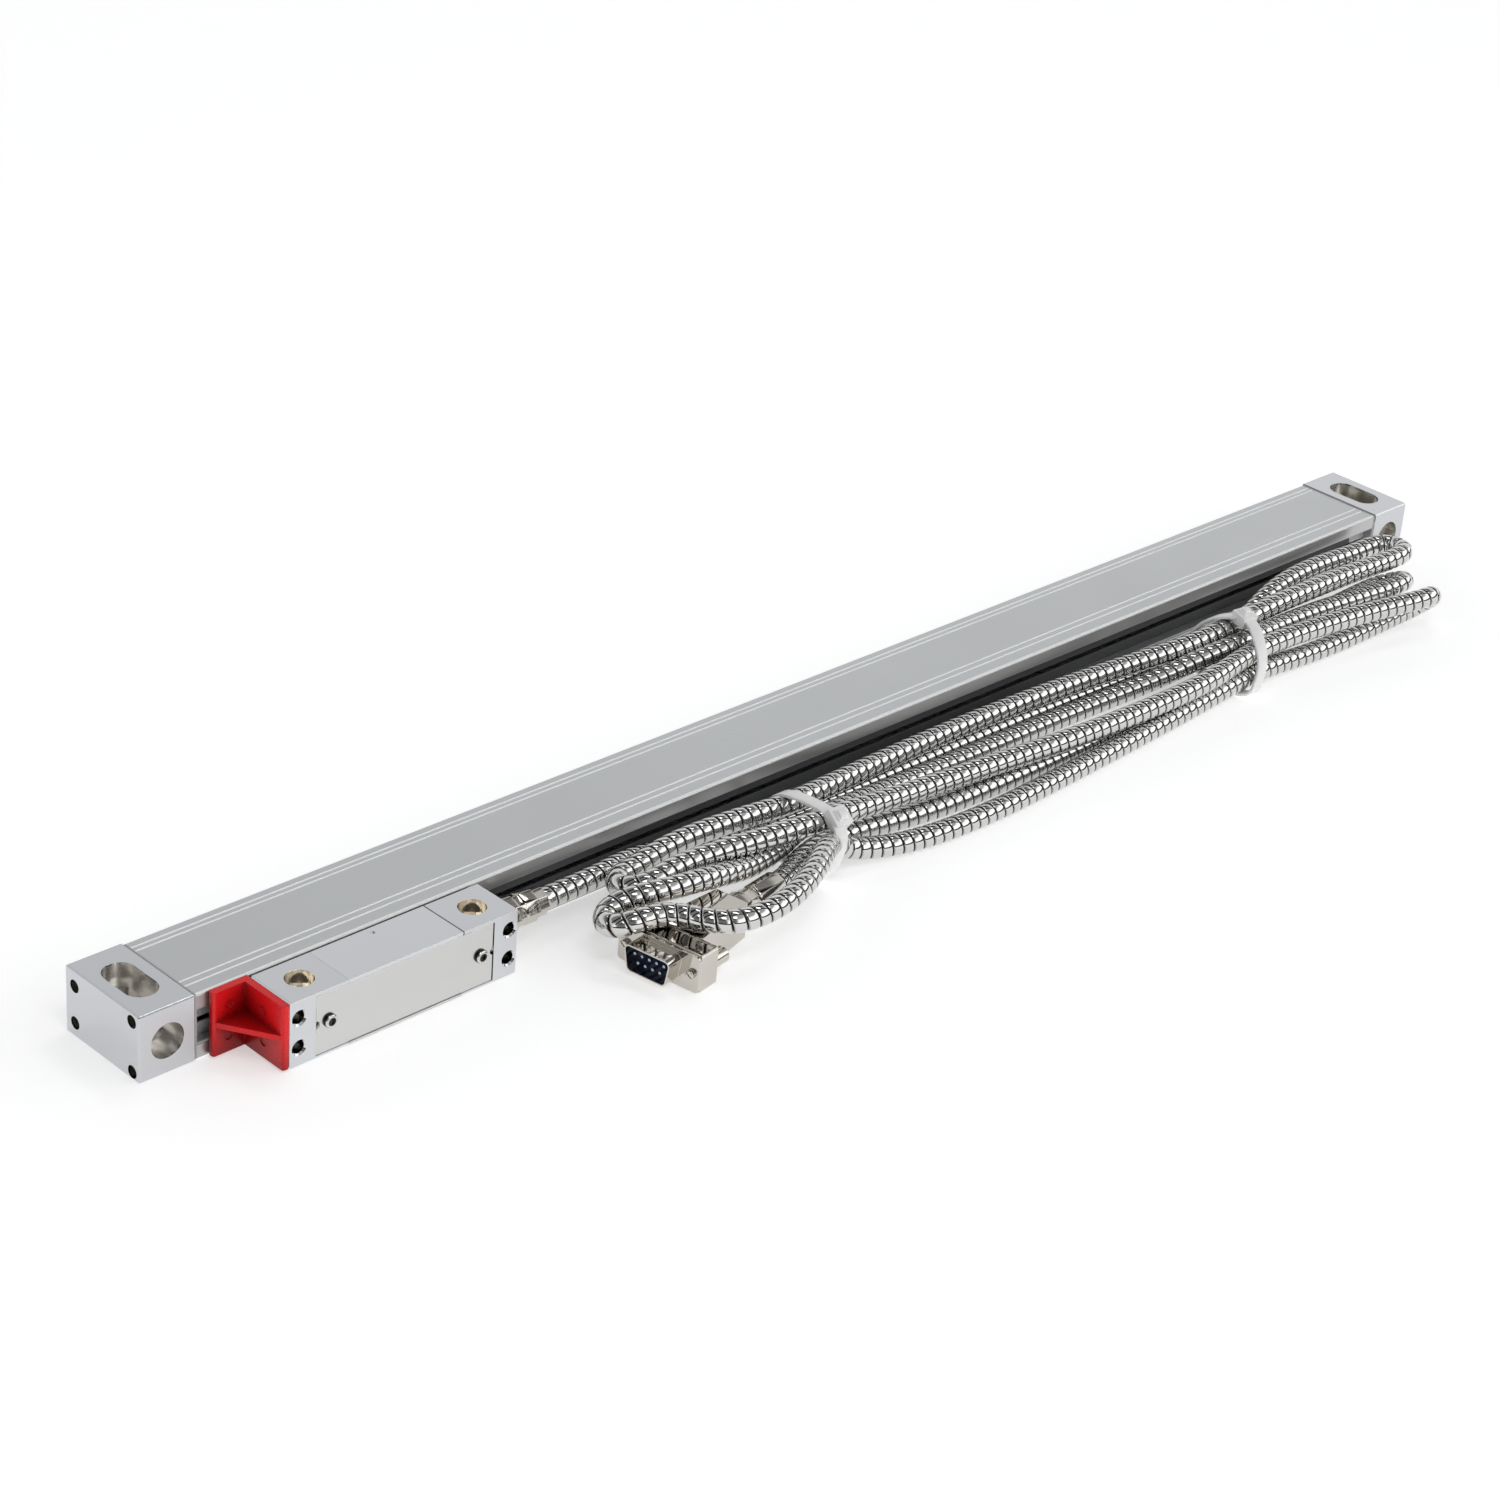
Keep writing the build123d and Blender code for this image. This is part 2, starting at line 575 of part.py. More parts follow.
def make_head_body():
    body = box_between((BODY_LEFT, BODY_RIGHT), (HEAD_FRONT, HEAD_BACK), (HEAD_BOTTOM, HEAD_TOP))
    body -= cover_recess()
    # Electronics bay, with a ledge all round for the board.
    floor_y = HEAD_BACK - BAY_FLOOR
    body -= bay_box(BAY_LENGTH, HEAD_FRONT, floor_y - BOARD_LEDGE, BAY_HEIGHT)
    narrowing = 2 * BOARD_LEDGE_WIDTH
    body -= bay_box(BAY_LENGTH - narrowing, HEAD_FRONT, floor_y, BAY_HEIGHT - narrowing)
    # Bottom recess for the plate, and the groove that grips the blade.
    body -= box_between(
        (BODY_LEFT, BODY_RIGHT),
        (HEAD_FRONT, HEAD_BACK - PLATE_BACK_INSET),
        (HEAD_BOTTOM, HEAD_BOTTOM + PLATE_THICKNESS),
    )
    half = BLADE_ROOT_LENGTH / 2
    body -= box_between(
        (HEAD_MIDDLE - half, HEAD_MIDDLE + half),
        (HEAD_BACK - BLADE_ROOT_DEPTH, HEAD_BACK),
        (MID_HEIGHT - BLADE_THICKNESS / 2, MID_HEIGHT + BLADE_THICKNESS / 2),
    )
    hole = BLOCK_SCREW_SHANK_RADIUS + SCREW_HOLE_CLEARANCE
    reach = BLOCK_SCREW_REACH + PLATE_END_GAP
    for y, z in block_screw_places():
        body -= rod_along_x(BODY_LEFT, BODY_LEFT + reach, y, z, hole)
        body -= rod_along_x(BODY_RIGHT - reach, BODY_RIGHT, y, z, hole)
    wire_y = HEAD_BACK - WIRE_BORE_BACK_INSET
    body -= rod_along_x(HEAD_MIDDLE, BODY_RIGHT, wire_y, GLAND_Z, WIRE_BORE_RADIUS)
    mark_y = HEAD_BACK - MARK_BACK_INSET
    body -= rod_along_z(HEAD_MIDDLE, mark_y, HEAD_TOP - MARK_DEPTH, HEAD_TOP, MARK_RADIUS)
    return body


def make_cover():
    half = COVER_LENGTH / 2
    y0 = HEAD_FRONT + COVER_SINK
    cover = box_between(
        (HEAD_MIDDLE - half, HEAD_MIDDLE + half), (y0, y0 + COVER_THICKNESS), (COVER_LOW, COVER_HIGH)
    )
    for side in (-1, 1):
        edge_x = HEAD_MIDDLE + side * half
        cover -= rod_along_y(edge_x, y0, y0 + COVER_THICKNESS, HEAD_CENTRE_Z, COVER_NOTCH_RADIUS)
        screw_x = HEAD_MIDDLE + side * COVER_SCREW_REACH
        cover -= rod_along_y(
            screw_x,
            y0,
            y0 + COVER_THICKNESS,
            HEAD_CENTRE_Z,
            COVER_SCREW_RADIUS + SCREW_HOLE_CLEARANCE,
        )
    return cover


def make_cover_gasket():
    y0 = HEAD_FRONT + COVER_SINK + COVER_THICKNESS
    rim = bay_box(BAY_LENGTH + 2 * SEAL_WIDTH, y0, y0 + SEAL_THICKNESS, BAY_HEIGHT + 2 * SEAL_WIDTH)
    return rim - bay_box(BAY_LENGTH, y0, y0 + SEAL_THICKNESS, BAY_HEIGHT)


def make_cover_screws():
    seat_y = HEAD_FRONT + COVER_SINK
    screws = []
    for side in (-1, 1):
        x = HEAD_MIDDLE + side * COVER_SCREW_REACH
        dome = Pos(0, 0, BUTTON_HEIGHT / 2) * Cylinder(BUTTON_RADIUS, BUTTON_HEIGHT)
        dome = fillet(dome.edges().sort_by(Axis.Z)[-1], BUTTON_CROWN)
        key = RegularPolygon(BUTTON_HEX_FLATS / 2, 6, major_radius=False)
        dome -= extrude(Plane.XY.offset(BUTTON_HEIGHT) * key, amount=-BUTTON_HEIGHT / 2)
        shank = COVER_THICKNESS + SEAL_THICKNESS + COVER_SCREW_LENGTH - SCREW_RECESS_CLEARANCE
        dome += Pos(0, 0, -shank / 2) * Cylinder(COVER_SCREW_RADIUS, shank)
        screws.append(Pos(x, seat_y, HEAD_CENTRE_Z) * Rot(90, 0, 0) * dome)
    return Compound(children=screws)


def make_bottom_plate():
    return box_between(
        (BODY_LEFT + PLATE_END_GAP, BODY_RIGHT - PLATE_END_GAP),
        (HEAD_FRONT - PLATE_PROUD, HEAD_BACK - PLATE_BACK_INSET),
        (HEAD_BOTTOM, HEAD_BOTTOM + PLATE_THICKNESS),
    )


def make_head_board():
    y0 = HEAD_BACK - BAY_FLOOR - BOARD_LEDGE - BOARD_THICKNESS
    board = bay_box(BAY_LENGTH - 2 * BOARD_GAP, y0, y0 + BOARD_THICKNESS, BAY_HEIGHT - 2 * BOARD_GAP)
    chip = bay_box(BAY_LENGTH / 4, y0 - BOARD_THICKNESS, y0, BAY_HEIGHT / 2)
    socket = bay_box(BAY_LENGTH / 8, y0 - 2 * BOARD_THICKNESS, y0, BAY_HEIGHT / 2)
    board += chip
    board += Pos(BAY_LENGTH / 3, 0, 0) * socket
    return board


def make_bracket():
    z0 = HEAD_BOTTOM + BRACKET_EDGE_MARGIN
    z1 = HEAD_TOP - BRACKET_EDGE_MARGIN
    outer_y = FRONT - BRACKET_HOUSING_GAP
    leg_x = (HEAD_LEFT - BRACKET_LEG, HEAD_LEFT)
    wall_x = (HEAD_LEFT - BRACKET_THICKNESS, HEAD_LEFT)
    bracket = box_between(leg_x, (outer_y - BRACKET_THICKNESS, outer_y), (z0, z1))
    bracket += box_between(wall_x, (HEAD_FRONT, outer_y), (z0, z1))
    uprights = bracket.edges().filter_by(Axis.Z)
    free_ends = uprights.sort_by(Axis.X)[0:2] + uprights.sort_by(Axis.Y)[0:2]
    bracket = fillet(free_ends, BRACKET_THICKNESS / 3)
    corner_x = HEAD_LEFT - BRACKET_THICKNESS
    corner_y = outer_y - BRACKET_THICKNESS
    rib = make_face(
        Polyline(
            (corner_x, corner_y),
            (HEAD_LEFT - BRACKET_LEG + BRACKET_RIB_INSET, corner_y),
            (corner_x, HEAD_FRONT + BRACKET_RIB_INSET),
            close=True,
        )
    )
    rib_low = (z0 + z1 - BRACKET_RIB) / 2
    bracket += extrude(Plane.XY.offset(rib_low) * rib, amount=BRACKET_RIB)
    # Shallow round marks of the mould's ejector pins, above and below the rib.
    for z in (z0 + EJECTOR_FROM_EDGE, z1 - EJECTOR_FROM_EDGE):
        leg_mark_x = HEAD_LEFT - (BRACKET_LEG + BRACKET_THICKNESS) / 2
        bracket -= rod_along_y(leg_mark_x, corner_y, corner_y + EJECTOR_DEPTH, z, EJECTOR_RADIUS)
        bracket -= rod_along_x(corner_x, corner_x + EJECTOR_DEPTH, HEAD_CENTRE_Y, z, EJECTOR_RADIUS)
    return bracket


def make_gland():
    gland = rod_along_x(HEAD_RIGHT, HEAD_RIGHT + GLAND_LENGTH, GLAND_Y, GLAND_Z, GLAND_RADIUS)
    gland += rod_along_x(
        HEAD_RIGHT + GLAND_LENGTH, LEAD_START_X, GLAND_Y, GLAND_Z, GLAND_COLLAR_RADIUS
    )
    gland += rod_along_x(
        HEAD_RIGHT - GLAND_SPIGOT_LENGTH, HEAD_RIGHT, GLAND_Y, GLAND_Z, GLAND_SPIGOT_RADIUS
    )
    return gland


# Blade, coupling and carriage


def make_blade():
    root = BLADE_ROOT_LENGTH / 2
    half = BLADE_LENGTH / 2
    inner_y = FRONT + BLADE_INNER_REACH
    lens_y = FRONT + (LIP_TIP_INSET + LIP_TIP_THICKNESS / 2)
    outline = make_face(
        Polyline(
            (HEAD_MIDDLE - root, HEAD_BACK - BLADE_ROOT_DEPTH),
            (HEAD_MIDDLE + root, HEAD_BACK - BLADE_ROOT_DEPTH),
            (HEAD_MIDDLE + root, HEAD_BACK + HEAD_GAP / 2),
            (HEAD_MIDDLE + half, lens_y),
            (HEAD_MIDDLE + half - BLADE_TIP_LENGTH, FRONT + FLANGE_DEPTH),
            (HEAD_MIDDLE + COUPLING_LENGTH / 2, inner_y),
            (HEAD_MIDDLE - COUPLING_LENGTH / 2, inner_y),
            (HEAD_MIDDLE - half + BLADE_TIP_LENGTH, FRONT + FLANGE_DEPTH),
            (HEAD_MIDDLE - half, lens_y),
            (HEAD_MIDDLE - root, HEAD_BACK + HEAD_GAP / 2),
            close=True,
        )
    )
    bottom = MID_HEIGHT - BLADE_THICKNESS / 2
    return extrude(Plane.XY.offset(bottom) * outline, amount=BLADE_THICKNESS)


def make_coupling_block():
    half = COUPLING_LENGTH / 2
    y0 = FRONT + COUPLING_FRONT
    block = box_between(
        (HEAD_MIDDLE - half, HEAD_MIDDLE + half),
        (y0, y0 + COUPLING_WIDTH),
        (MID_HEIGHT - COUPLING_HEIGHT / 2, MID_HEIGHT + COUPLING_HEIGHT / 2),
    )
    block -= make_blade()
    rod_y = FRONT + ROD_INSET
    block -= rod_along_x(
        HEAD_MIDDLE - half, HEAD_MIDDLE + half, rod_y, MID_HEIGHT + ROD_RISE, ROD_RADIUS + ROD_CLEARANCE
    )
    return block


def make_coupling_rod():
    x0 = HEAD_MIDDLE - COUPLING_LENGTH / 2
    return rod_along_x(x0, x0 + ROD_LENGTH, FRONT + ROD_INSET, MID_HEIGHT + ROD_RISE, ROD_RADIUS)


def face_bearing_places():
    z = GLASS_TOP + ROLLING_GAP + BEARING_RADIUS
    y = FRONT + FACE_BEARING_REACH
    return [(HEAD_MIDDLE + step * FACE_BEARING_SPACING, y, z) for step in (-1, 0, 1)]


def edge_bearing_places():
    y = GLASS_FRONT - ROLLING_GAP - BEARING_RADIUS
    return [(HEAD_MIDDLE + side * EDGE_BEARING_OFFSET, y, MID_HEIGHT) for side in (-1, 1)]


def make_carriage():
    half = CARRIAGE_LENGTH / 2
    xs = (HEAD_MIDDLE - half, HEAD_MIDDLE + half)
    web_y = FRONT + CARRIAGE_WEB_FRONT
    rear_y = FRONT + CARRIAGE_REAR
    low = WALL + ARM_BOTTOM_GAP
    high = HEIGHT - WALL - ARM_TOP_GAP
    carriage = box_between(xs, (web_y, rear_y), (low, high))
    carriage -= box_between(
        xs,
        (web_y + CARRIAGE_WEB_THICKNESS, rear_y),
        (GLASS_BOTTOM - CARRIAGE_GAP, GLASS_TOP + CARRIAGE_GAP),
    )
    reach = BEARING_RADIUS + WINDOW_GAP
    side = BEARING_WIDTH / 2 + BEARING_SIDE_GAP
    for x, y, z in face_bearing_places():
        carriage -= box_between((x - reach, x + reach), (y - side, y + side), (GLASS_TOP, high))
        carriage -= rod_along_y(
            x, y - side - PIN_OVERHANG, y + side + PIN_OVERHANG, z, PIN_RADIUS + PIN_CLEARANCE
        )
    for x, y, z in edge_bearing_places():
        carriage -= box_between((x - reach, x + reach), (web_y, y), (z - side, z + side))
        carriage -= rod_along_z(
            x, y, z - side - PIN_OVERHANG, z + side + PIN_OVERHANG, PIN_RADIUS + PIN_CLEARANCE
        )
    # Lamp bore above the glass, and the seat of the detector and reticle below it.
    lamp_x = HEAD_MIDDLE + OPTICS_OFFSET
    lamp_y = FRONT + FACE_BEARING_REACH
    carriage -= rod_along_z(lamp_x, lamp_y, GLASS_TOP, high, LED_RADIUS + LED_CLEARANCE)
    carriage -= detector_pocket()
    # Lug that holds the coupling rod's far end.
    rod_y = FRONT + ROD_INSET
    rod_z = MID_HEIGHT + ROD_RISE
    lug_end = HEAD_MIDDLE - COUPLING_LENGTH / 2 + ROD_LENGTH
    lug = 3 * ROD_RADIUS
    carriage += box_between(
        (lug_end - LUG_LENGTH, lug_end), (rod_y - 2 * ROD_RADIUS, web_y), (rod_z - lug, rod_z + lug)
    )
    carriage -= rod_along_x(
        lug_end - LUG_LENGTH, lug_end, rod_y, rod_z, ROD_RADIUS + ROD_CLEARANCE
    )
    return carriage


def detector_box(length, width, z0, z1):
    x = HEAD_MIDDLE + OPTICS_OFFSET
    y = FRONT + FACE_BEARING_REACH - DETECTOR_MARGIN
    return box_between((x - length / 2, x + length / 2), (y - width / 2, y + width / 2), (z0, z1))


def reticle_bottom():
    return GLASS_BOTTOM - SCANNING_GAP - RETICLE_THICKNESS


def detector_pocket():
    length = RETICLE_LENGTH + 2 * DETECTOR_MARGIN
    width = RETICLE_WIDTH + 2 * DETECTOR_MARGIN
    return detector_box(length, width, reticle_bottom() - DETECTOR_THICKNESS, GLASS_BOTTOM)


def make_detector_board():
    length = RETICLE_LENGTH + 2 * DETECTOR_MARGIN - 2 * LED_CLEARANCE
    width = RETICLE_WIDTH + 2 * DETECTOR_MARGIN - 2 * LED_CLEARANCE
    return detector_box(length, width, reticle_bottom() - DETECTOR_THICKNESS, reticle_bottom())


def make_reticle():
    return detector_box(
        RETICLE_LENGTH, RETICLE_WIDTH, reticle_bottom(), reticle_bottom() + RETICLE_THICKNESS
    )


def make_led():
    x = HEAD_MIDDLE + OPTICS_OFFSET
    y = FRONT + FACE_BEARING_REACH
    high = HEIGHT - WALL - ARM_TOP_GAP
    lamp = rod_along_z(x, y, GLASS_TOP + CARRIAGE_GAP, high, LED_RADIUS)
    return lamp + rod_along_z(x, y, high, high + LED_FLANGE, LED_FLANGE_RADIUS)


def make_bearing():
    # Axis along Z, centred.
    ring = Cylinder(BEARING_RADIUS, BEARING_WIDTH)
    ring = chamfer(ring.edges(), BEARING_CHAMFER)
    return ring - Cylinder(BEARING_BORE_RADIUS, BEARING_WIDTH)


def make_bearing_pins():
    side = BEARING_WIDTH / 2 + BEARING_SIDE_GAP + PIN_OVERHANG
    pins = [rod_along_y(x, y - side, y + side, z, PIN_RADIUS) for x, y, z in face_bearing_places()]
    pins += [rod_along_z(x, y, z - side, z + side, PIN_RADIUS) for x, y, z in edge_bearing_places()]
    return Compound(children=pins)


# Cable, ties and plug


def tube_along(points, diameter, label):
    # Straight runs joined by arcs, each as large as 0.45 of its shorter run allows.
    corners = [Vector(*point) for point in points]
    radii = []
    for before, corner, after in zip(corners, corners[1:], corners[2:]):
        shorter = min((corner - before).length, (after - corner).length)
        half_turn = math.radians((corner - before).get_angle(after - corner) / 2)
        radii.append(0.45 * shorter / math.tan(half_turn))
    path = FilletPolyline(*points, radius=radii)
    start = Plane(origin=path @ 0, z_dir=path % 0)
    tube = sweep(start * Circle(diameter / 2), path=path)
    print(label, "length", round(path.length, 1), "radii", [round(r) for r in radii])
    print(label, "volume ratio", tube.volume / (math.pi * diameter**2 / 4 * path.length))
    return tube


def lead_points():
    start = (LEAD_START_X, GLAND_Y, GLAND_Z)
    return [start, (LEAD_START_X + LEAD_STRAIGHT, GLAND_Y, GLAND_Z), LEAD_BEND, LEAD_END]


def plug_frame():
    return Pos(PLUG_PLACE[0], PLUG_PLACE[1], 0) * Rot(0, 0, PLUG_TURN)


def plug_axis_point(distance):
    turn = math.radians(PLUG_TURN)
    x = PLUG_PLACE[0] + distance * math.cos(turn)
    y = PLUG_PLACE[1] + distance * math.sin(turn)
    return (x, y, PLUG_HEIGHT / 2)


def tail_points():
    start = plug_axis_point(TAIL_START)
    bend = plug_axis_point(TAIL_START + TAIL_RUN)
    return [start, bend, (bend[0] + TAIL_RUN, bend[1], bend[2])]


def tie_section(span, grow):
    low = TIE_GROUND_GAP + TIE_THICKNESS - grow
    section = section_rect((span[0] - grow, span[1] + grow), (low, TIE_TOP + grow))
    return fillet(section.vertices(), TIE_CORNER + grow)


def make_tie(x, span):
    ring = tie_section(span, TIE_THICKNESS) - tie_section(span, 0)
    tie = bar(ring, x - TIE_WIDTH / 2, x + TIE_WIDTH / 2)
    length, width, height = TIE_HEAD
    head_y = span[0] + TIE_CORNER + width / 2
    head_z = TIE_TOP + TIE_THICKNESS / 2
    tie += box_between(
        (x - length / 2, x + length / 2),
        (head_y - width / 2, head_y + width / 2),
        (head_z, head_z + height),
    )
    return tie


def hank_outline():
    back = FRONT - HANK_HOUSING_GAP
    lead_side = back - HANK_LEAD_WIDTH
    lead_face = LEAD_END[0]
    tail_face = tail_points()[-1][0]
    return make_face(
        Polyline(
            (lead_face, back),
            (lead_face, lead_side),
            (-148, lead_side),
            (-153.5, -37),
            (-153, -46.5),
            (-103, -46.5),
            (-70, -48.5),
            (tail_face, -48.5),
            (tail_face, -61.5),
            (-40, -63.5),
            (5, -68),
            (60, -65),
            (110, -62),
            (161, -60.5),
            (210, -60.5),
            (240, -65),
            (256, -66.5),
            (264, -62),
            (268, -52),
            (276, -43),
            (278, -34),
            (274, -26),
            (262, back),
            close=True,
        )
    )


def hank_lobe_outline():
    # The front turn of the hank, which lies over the plug's hood.
    return make_face(
        Polyline(
            (-132, -42),
            (-132, -70),
            (-123, -79),
            (-109, -82),
            (-95, -79),
            (-79, -71.5),
            (-66, -62),
            (-59, -52),
            (-59, -42),
            close=True,
        )
    )


def make_hank():
    hank = extrude(hank_outline(), amount=HANK_TOP)
    lobe_bottom = PLUG_HEIGHT + TIE_GAP
    lobe = extrude(Plane.XY.offset(lobe_bottom) * hank_lobe_outline(), amount=HANK_TOP - lobe_bottom)
    hank += lobe
    for x, span in ((TIE_LEFT_X, TIE_LEFT_SPAN), (TIE_RIGHT_X, TIE_RIGHT_SPAN)):
        half = TIE_HEAD[0] / 2 + TIE_GAP
        waist = bar(tie_section(span, 0), x - half, x + half)
        whole = box_between((x - half, x + half), (FRONT - HANK_REACH, FRONT), (0, 2 * HANK_TOP))
        hank -= whole - waist
    return hank


def d_section(width, height, corner):
    # The D outline of the plug, drawn with Y across and Z up, about its own centre.
    slope = height * math.tan(math.radians(SHELL_TAPER))
    face = make_face(
        Polyline(
            (-width / 2 + slope, -height / 2),
            (width / 2 - slope, -height / 2),
            (width / 2, height / 2),
            (-width / 2, height / 2),
            close=True,
        )
    )
    return fillet(face.vertices(), corner)


def make_plug_shell():
    centre = Pos(0, PLUG_HEIGHT / 2)
    flange = centre * Rectangle(FLANGE_WIDTH, PLUG_HEIGHT)
    flange = fillet(flange.vertices(), FLANGE_CORNER)
    inner = centre * d_section(
        SHELL_WIDTH - 2 * SHELL_WALL, SHELL_HEIGHT - 2 * SHELL_WALL, SHELL_CORNER - SHELL_WALL
    )
    outer = centre * d_section(SHELL_WIDTH, SHELL_HEIGHT, SHELL_CORNER)
    flange -= inner
    for side in (-1, 1):
        flange -= Pos(side * JACK_SPACING / 2, PLUG_HEIGHT / 2) * Circle(
            JACK_SHANK_RADIUS + JACK_HOLE_CLEARANCE
        )
    shell = bar(flange, 0, FLANGE_THICKNESS)
    shell += bar(outer - inner, -SHELL_REACH, 0)
    return plug_frame() * shell


def insert_section(gap):
    return Pos(0, PLUG_HEIGHT / 2) * d_section(
        SHELL_WIDTH - 2 * SHELL_WALL - 2 * gap,
        SHELL_HEIGHT - 2 * SHELL_WALL - 2 * gap,
        SHELL_CORNER - SHELL_WALL,
    )


def insert_reach():
    return (-SHELL_REACH + INSERT_SINK, FLANGE_THICKNESS + HOOD_BOX_LENGTH / 2)


def make_plug_insert():
    front, rear = insert_reach()
    insert = bar(insert_section(SCREW_HOLE_CLEARANCE), front, rear)
    for y, z in plug_pin_places():
        insert -= rod_along_x(front, rear, y, z, PLUG_PIN_RADIUS)
    return plug_frame() * insert


def plug_pin_places():
    middle = PLUG_HEIGHT / 2
    upper = [((i - 2) * PLUG_PIN_PITCH, middle + PLUG_PIN_ROW / 2) for i in range(5)]
    lower = [((i - 1.5) * PLUG_PIN_PITCH, middle - PLUG_PIN_ROW / 2) for i in range(4)]
    return upper + lower


def make_plug_pins():
    front, rear = insert_reach()
    pins = [
        rod_along_x(-PLUG_PIN_TIP, rear, y, z, PLUG_PIN_RADIUS) for y, z in plug_pin_places()
    ]
    return plug_frame() * Compound(children=pins)


def make_plug_hood():
    box_rear = FLANGE_THICKNESS + HOOD_BOX_LENGTH
    hood = box_between(
        (FLANGE_THICKNESS, box_rear), (-FLANGE_WIDTH / 2, FLANGE_WIDTH / 2), (0, PLUG_HEIGHT)
    )
    hood = chamfer(hood.edges().filter_by(Axis.X), HEAD_EDGE)
    neck = make_face(
        Polyline(
            (box_rear, -HOOD_WIDE / 2),
            (HOOD_REAR, -HOOD_NARROW / 2),
            (HOOD_REAR, HOOD_NARROW / 2),
            (box_rear, HOOD_WIDE / 2),
            close=True,
        )
    )
    hood += extrude(neck, amount=PLUG_HEIGHT)
    hollow = make_face(
        Polyline(
            (FLANGE_THICKNESS, -SHELL_WIDTH / 2),
            (box_rear, -HOOD_WIDE / 2 + HOOD_WALL),
            (HOOD_REAR - HOOD_WALL, -HOOD_NARROW / 2 + HOOD_WALL),
            (HOOD_REAR - HOOD_WALL, HOOD_NARROW / 2 - HOOD_WALL),
            (box_rear, HOOD_WIDE / 2 - HOOD_WALL),
            (FLANGE_THICKNESS, SHELL_WIDTH / 2),
            close=True,
        )
    )
    inside = PLUG_HEIGHT - 2 * HOOD_WALL
    hood -= extrude(Plane.XY.offset(HOOD_WALL) * hollow, amount=inside)
    hole = JACK_SHANK_RADIUS + JACK_HOLE_CLEARANCE
    middle = PLUG_HEIGHT / 2
    for side in (-1, 1):
        y = side * JACK_SPACING / 2
        hood -= rod_along_x(FLANGE_THICKNESS, box_rear, y, middle, hole)
        x = FLANGE_THICKNESS + HOOD_BOX_LENGTH / 2
        half = HOOD_POCKET / 2
        hood -= box_between(
            (x - half, x + half), (y - half, y + half), (PLUG_HEIGHT - HOOD_POCKET_DEPTH, PLUG_HEIGHT)
        )
    return plug_frame() * hood


def make_ferrule():
    middle = PLUG_HEIGHT / 2
    step = HOOD_REAR + FERRULE_COLLAR_LENGTH
    ferrule = rod_along_x(HOOD_REAR, step, 0, middle, FERRULE_COLLAR_RADIUS)
    ferrule += rod_along_x(step, TAIL_START, 0, middle, FERRULE_RADIUS)
    return plug_frame() * ferrule


def make_jackscrew(side):
    y = side * JACK_SPACING / 2
    middle = PLUG_HEIGHT / 2
    head_start = FLANGE_THICKNESS + HOOD_BOX_LENGTH + JACK_HEAD_GAP
    head_end = head_start + JACK_HEAD_LENGTH
    screw = rod_along_x(JACK_SINK, head_start, y, middle, JACK_SHANK_RADIUS)
    head = rod_along_x(head_start, head_end, y, middle, JACK_HEAD_RADIUS)
    head -= box_between(
        (head_end - JACK_SLOT, head_end),
        (y - JACK_SLOT / 2, y + JACK_SLOT / 2),
        (middle - JACK_HEAD_RADIUS, middle + JACK_HEAD_RADIUS),
    )
    return plug_frame() * (screw + head)


def main():
    save(make_housing(), "housing")
    save(make_glass(), "glass_scale")
    save(make_clamp_strip(), "glass_clamp_strip")
    upper, lower = make_lips()
    save(upper, "upper_lip_seal")
    save(lower, "lower_lip_seal")
    save(make_end_block(LEFT, 1), "left_end_block")
    save(make_end_block(RIGHT, -1), "right_end_block")
    save(make_gasket(HOUSING_LEFT, -1), "left_gasket")
    save(make_gasket(HOUSING_RIGHT, 1), "right_gasket")
    save(end_screws(LEFT, 1), "left_end_screws")
    save(end_screws(RIGHT, -1), "right_end_screws")

    save(make_head_block(HEAD_LEFT, 1), "head_left_block")
    save(make_right_head_block(), "head_right_block")
    save(make_head_body(), "head_body")
    save(make_head_block_screws(), "head_block_screws")
    save(make_cover(), "head_cover")
    save(make_cover_gasket(), "cover_gasket")
    save(make_cover_screws(), "cover_screws")
    save(make_bottom_plate(), "bottom_plate")
    save(make_head_board(), "head_board")
    save(make_bracket(), "shipping_bracket")
    save(make_gland(), "cable_gland")

    save(make_blade(), "coupling_blade")
    save(make_coupling_block(), "coupling_block")
    save(make_coupling_rod(), "coupling_rod")
    save(make_carriage(), "carriage")
    save(make_bearing_pins(), "bearing_pins")
    save(make_led(), "lamp_module")
    save(make_detector_board(), "detector_board")
    save(make_reticle(), "index_grating")
    for number, place in enumerate(face_bearing_places(), 1):
        save(Pos(*place) * Rot(90, 0, 0) * make_bearing(), f"face_bearing_{number}")
    for number, place in enumerate(edge_bearing_places(), 1):
        save(Pos(*place) * make_bearing(), f"edge_bearing_{number}")

    save(tube_along(lead_points(), CABLE_DIAMETER, "lead"), "cable_lead")
    save(make_hank(), "cable_hank")
    save(tube_along(tail_points(), CABLE_DIAMETER, "tail"), "cable_tail")
    save(make_tie(TIE_LEFT_X, TIE_LEFT_SPAN), "left_cable_tie")
    save(make_tie(TIE_RIGHT_X, TIE_RIGHT_SPAN), "right_cable_tie")
    save(make_plug_shell(), "plug_shell")
    save(make_plug_insert(), "plug_insert")
    save(make_plug_pins(), "plug_pins")
    save(make_plug_hood(), "plug_hood")
    save(make_ferrule(), "plug_ferrule")
    save(make_jackscrew(-1), "near_jackscrew")
    save(make_jackscrew(1), "far_jackscrew")


main()
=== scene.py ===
# Sealed linear glass scale with its reader head, armoured cable and 9-way plug.
# Metres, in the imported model's frame: +X along the scale, -Y the slot side, +Z up.
import math

import bmesh
import bpy
import numpy as np
from mathutils import Euler, Matrix, Vector


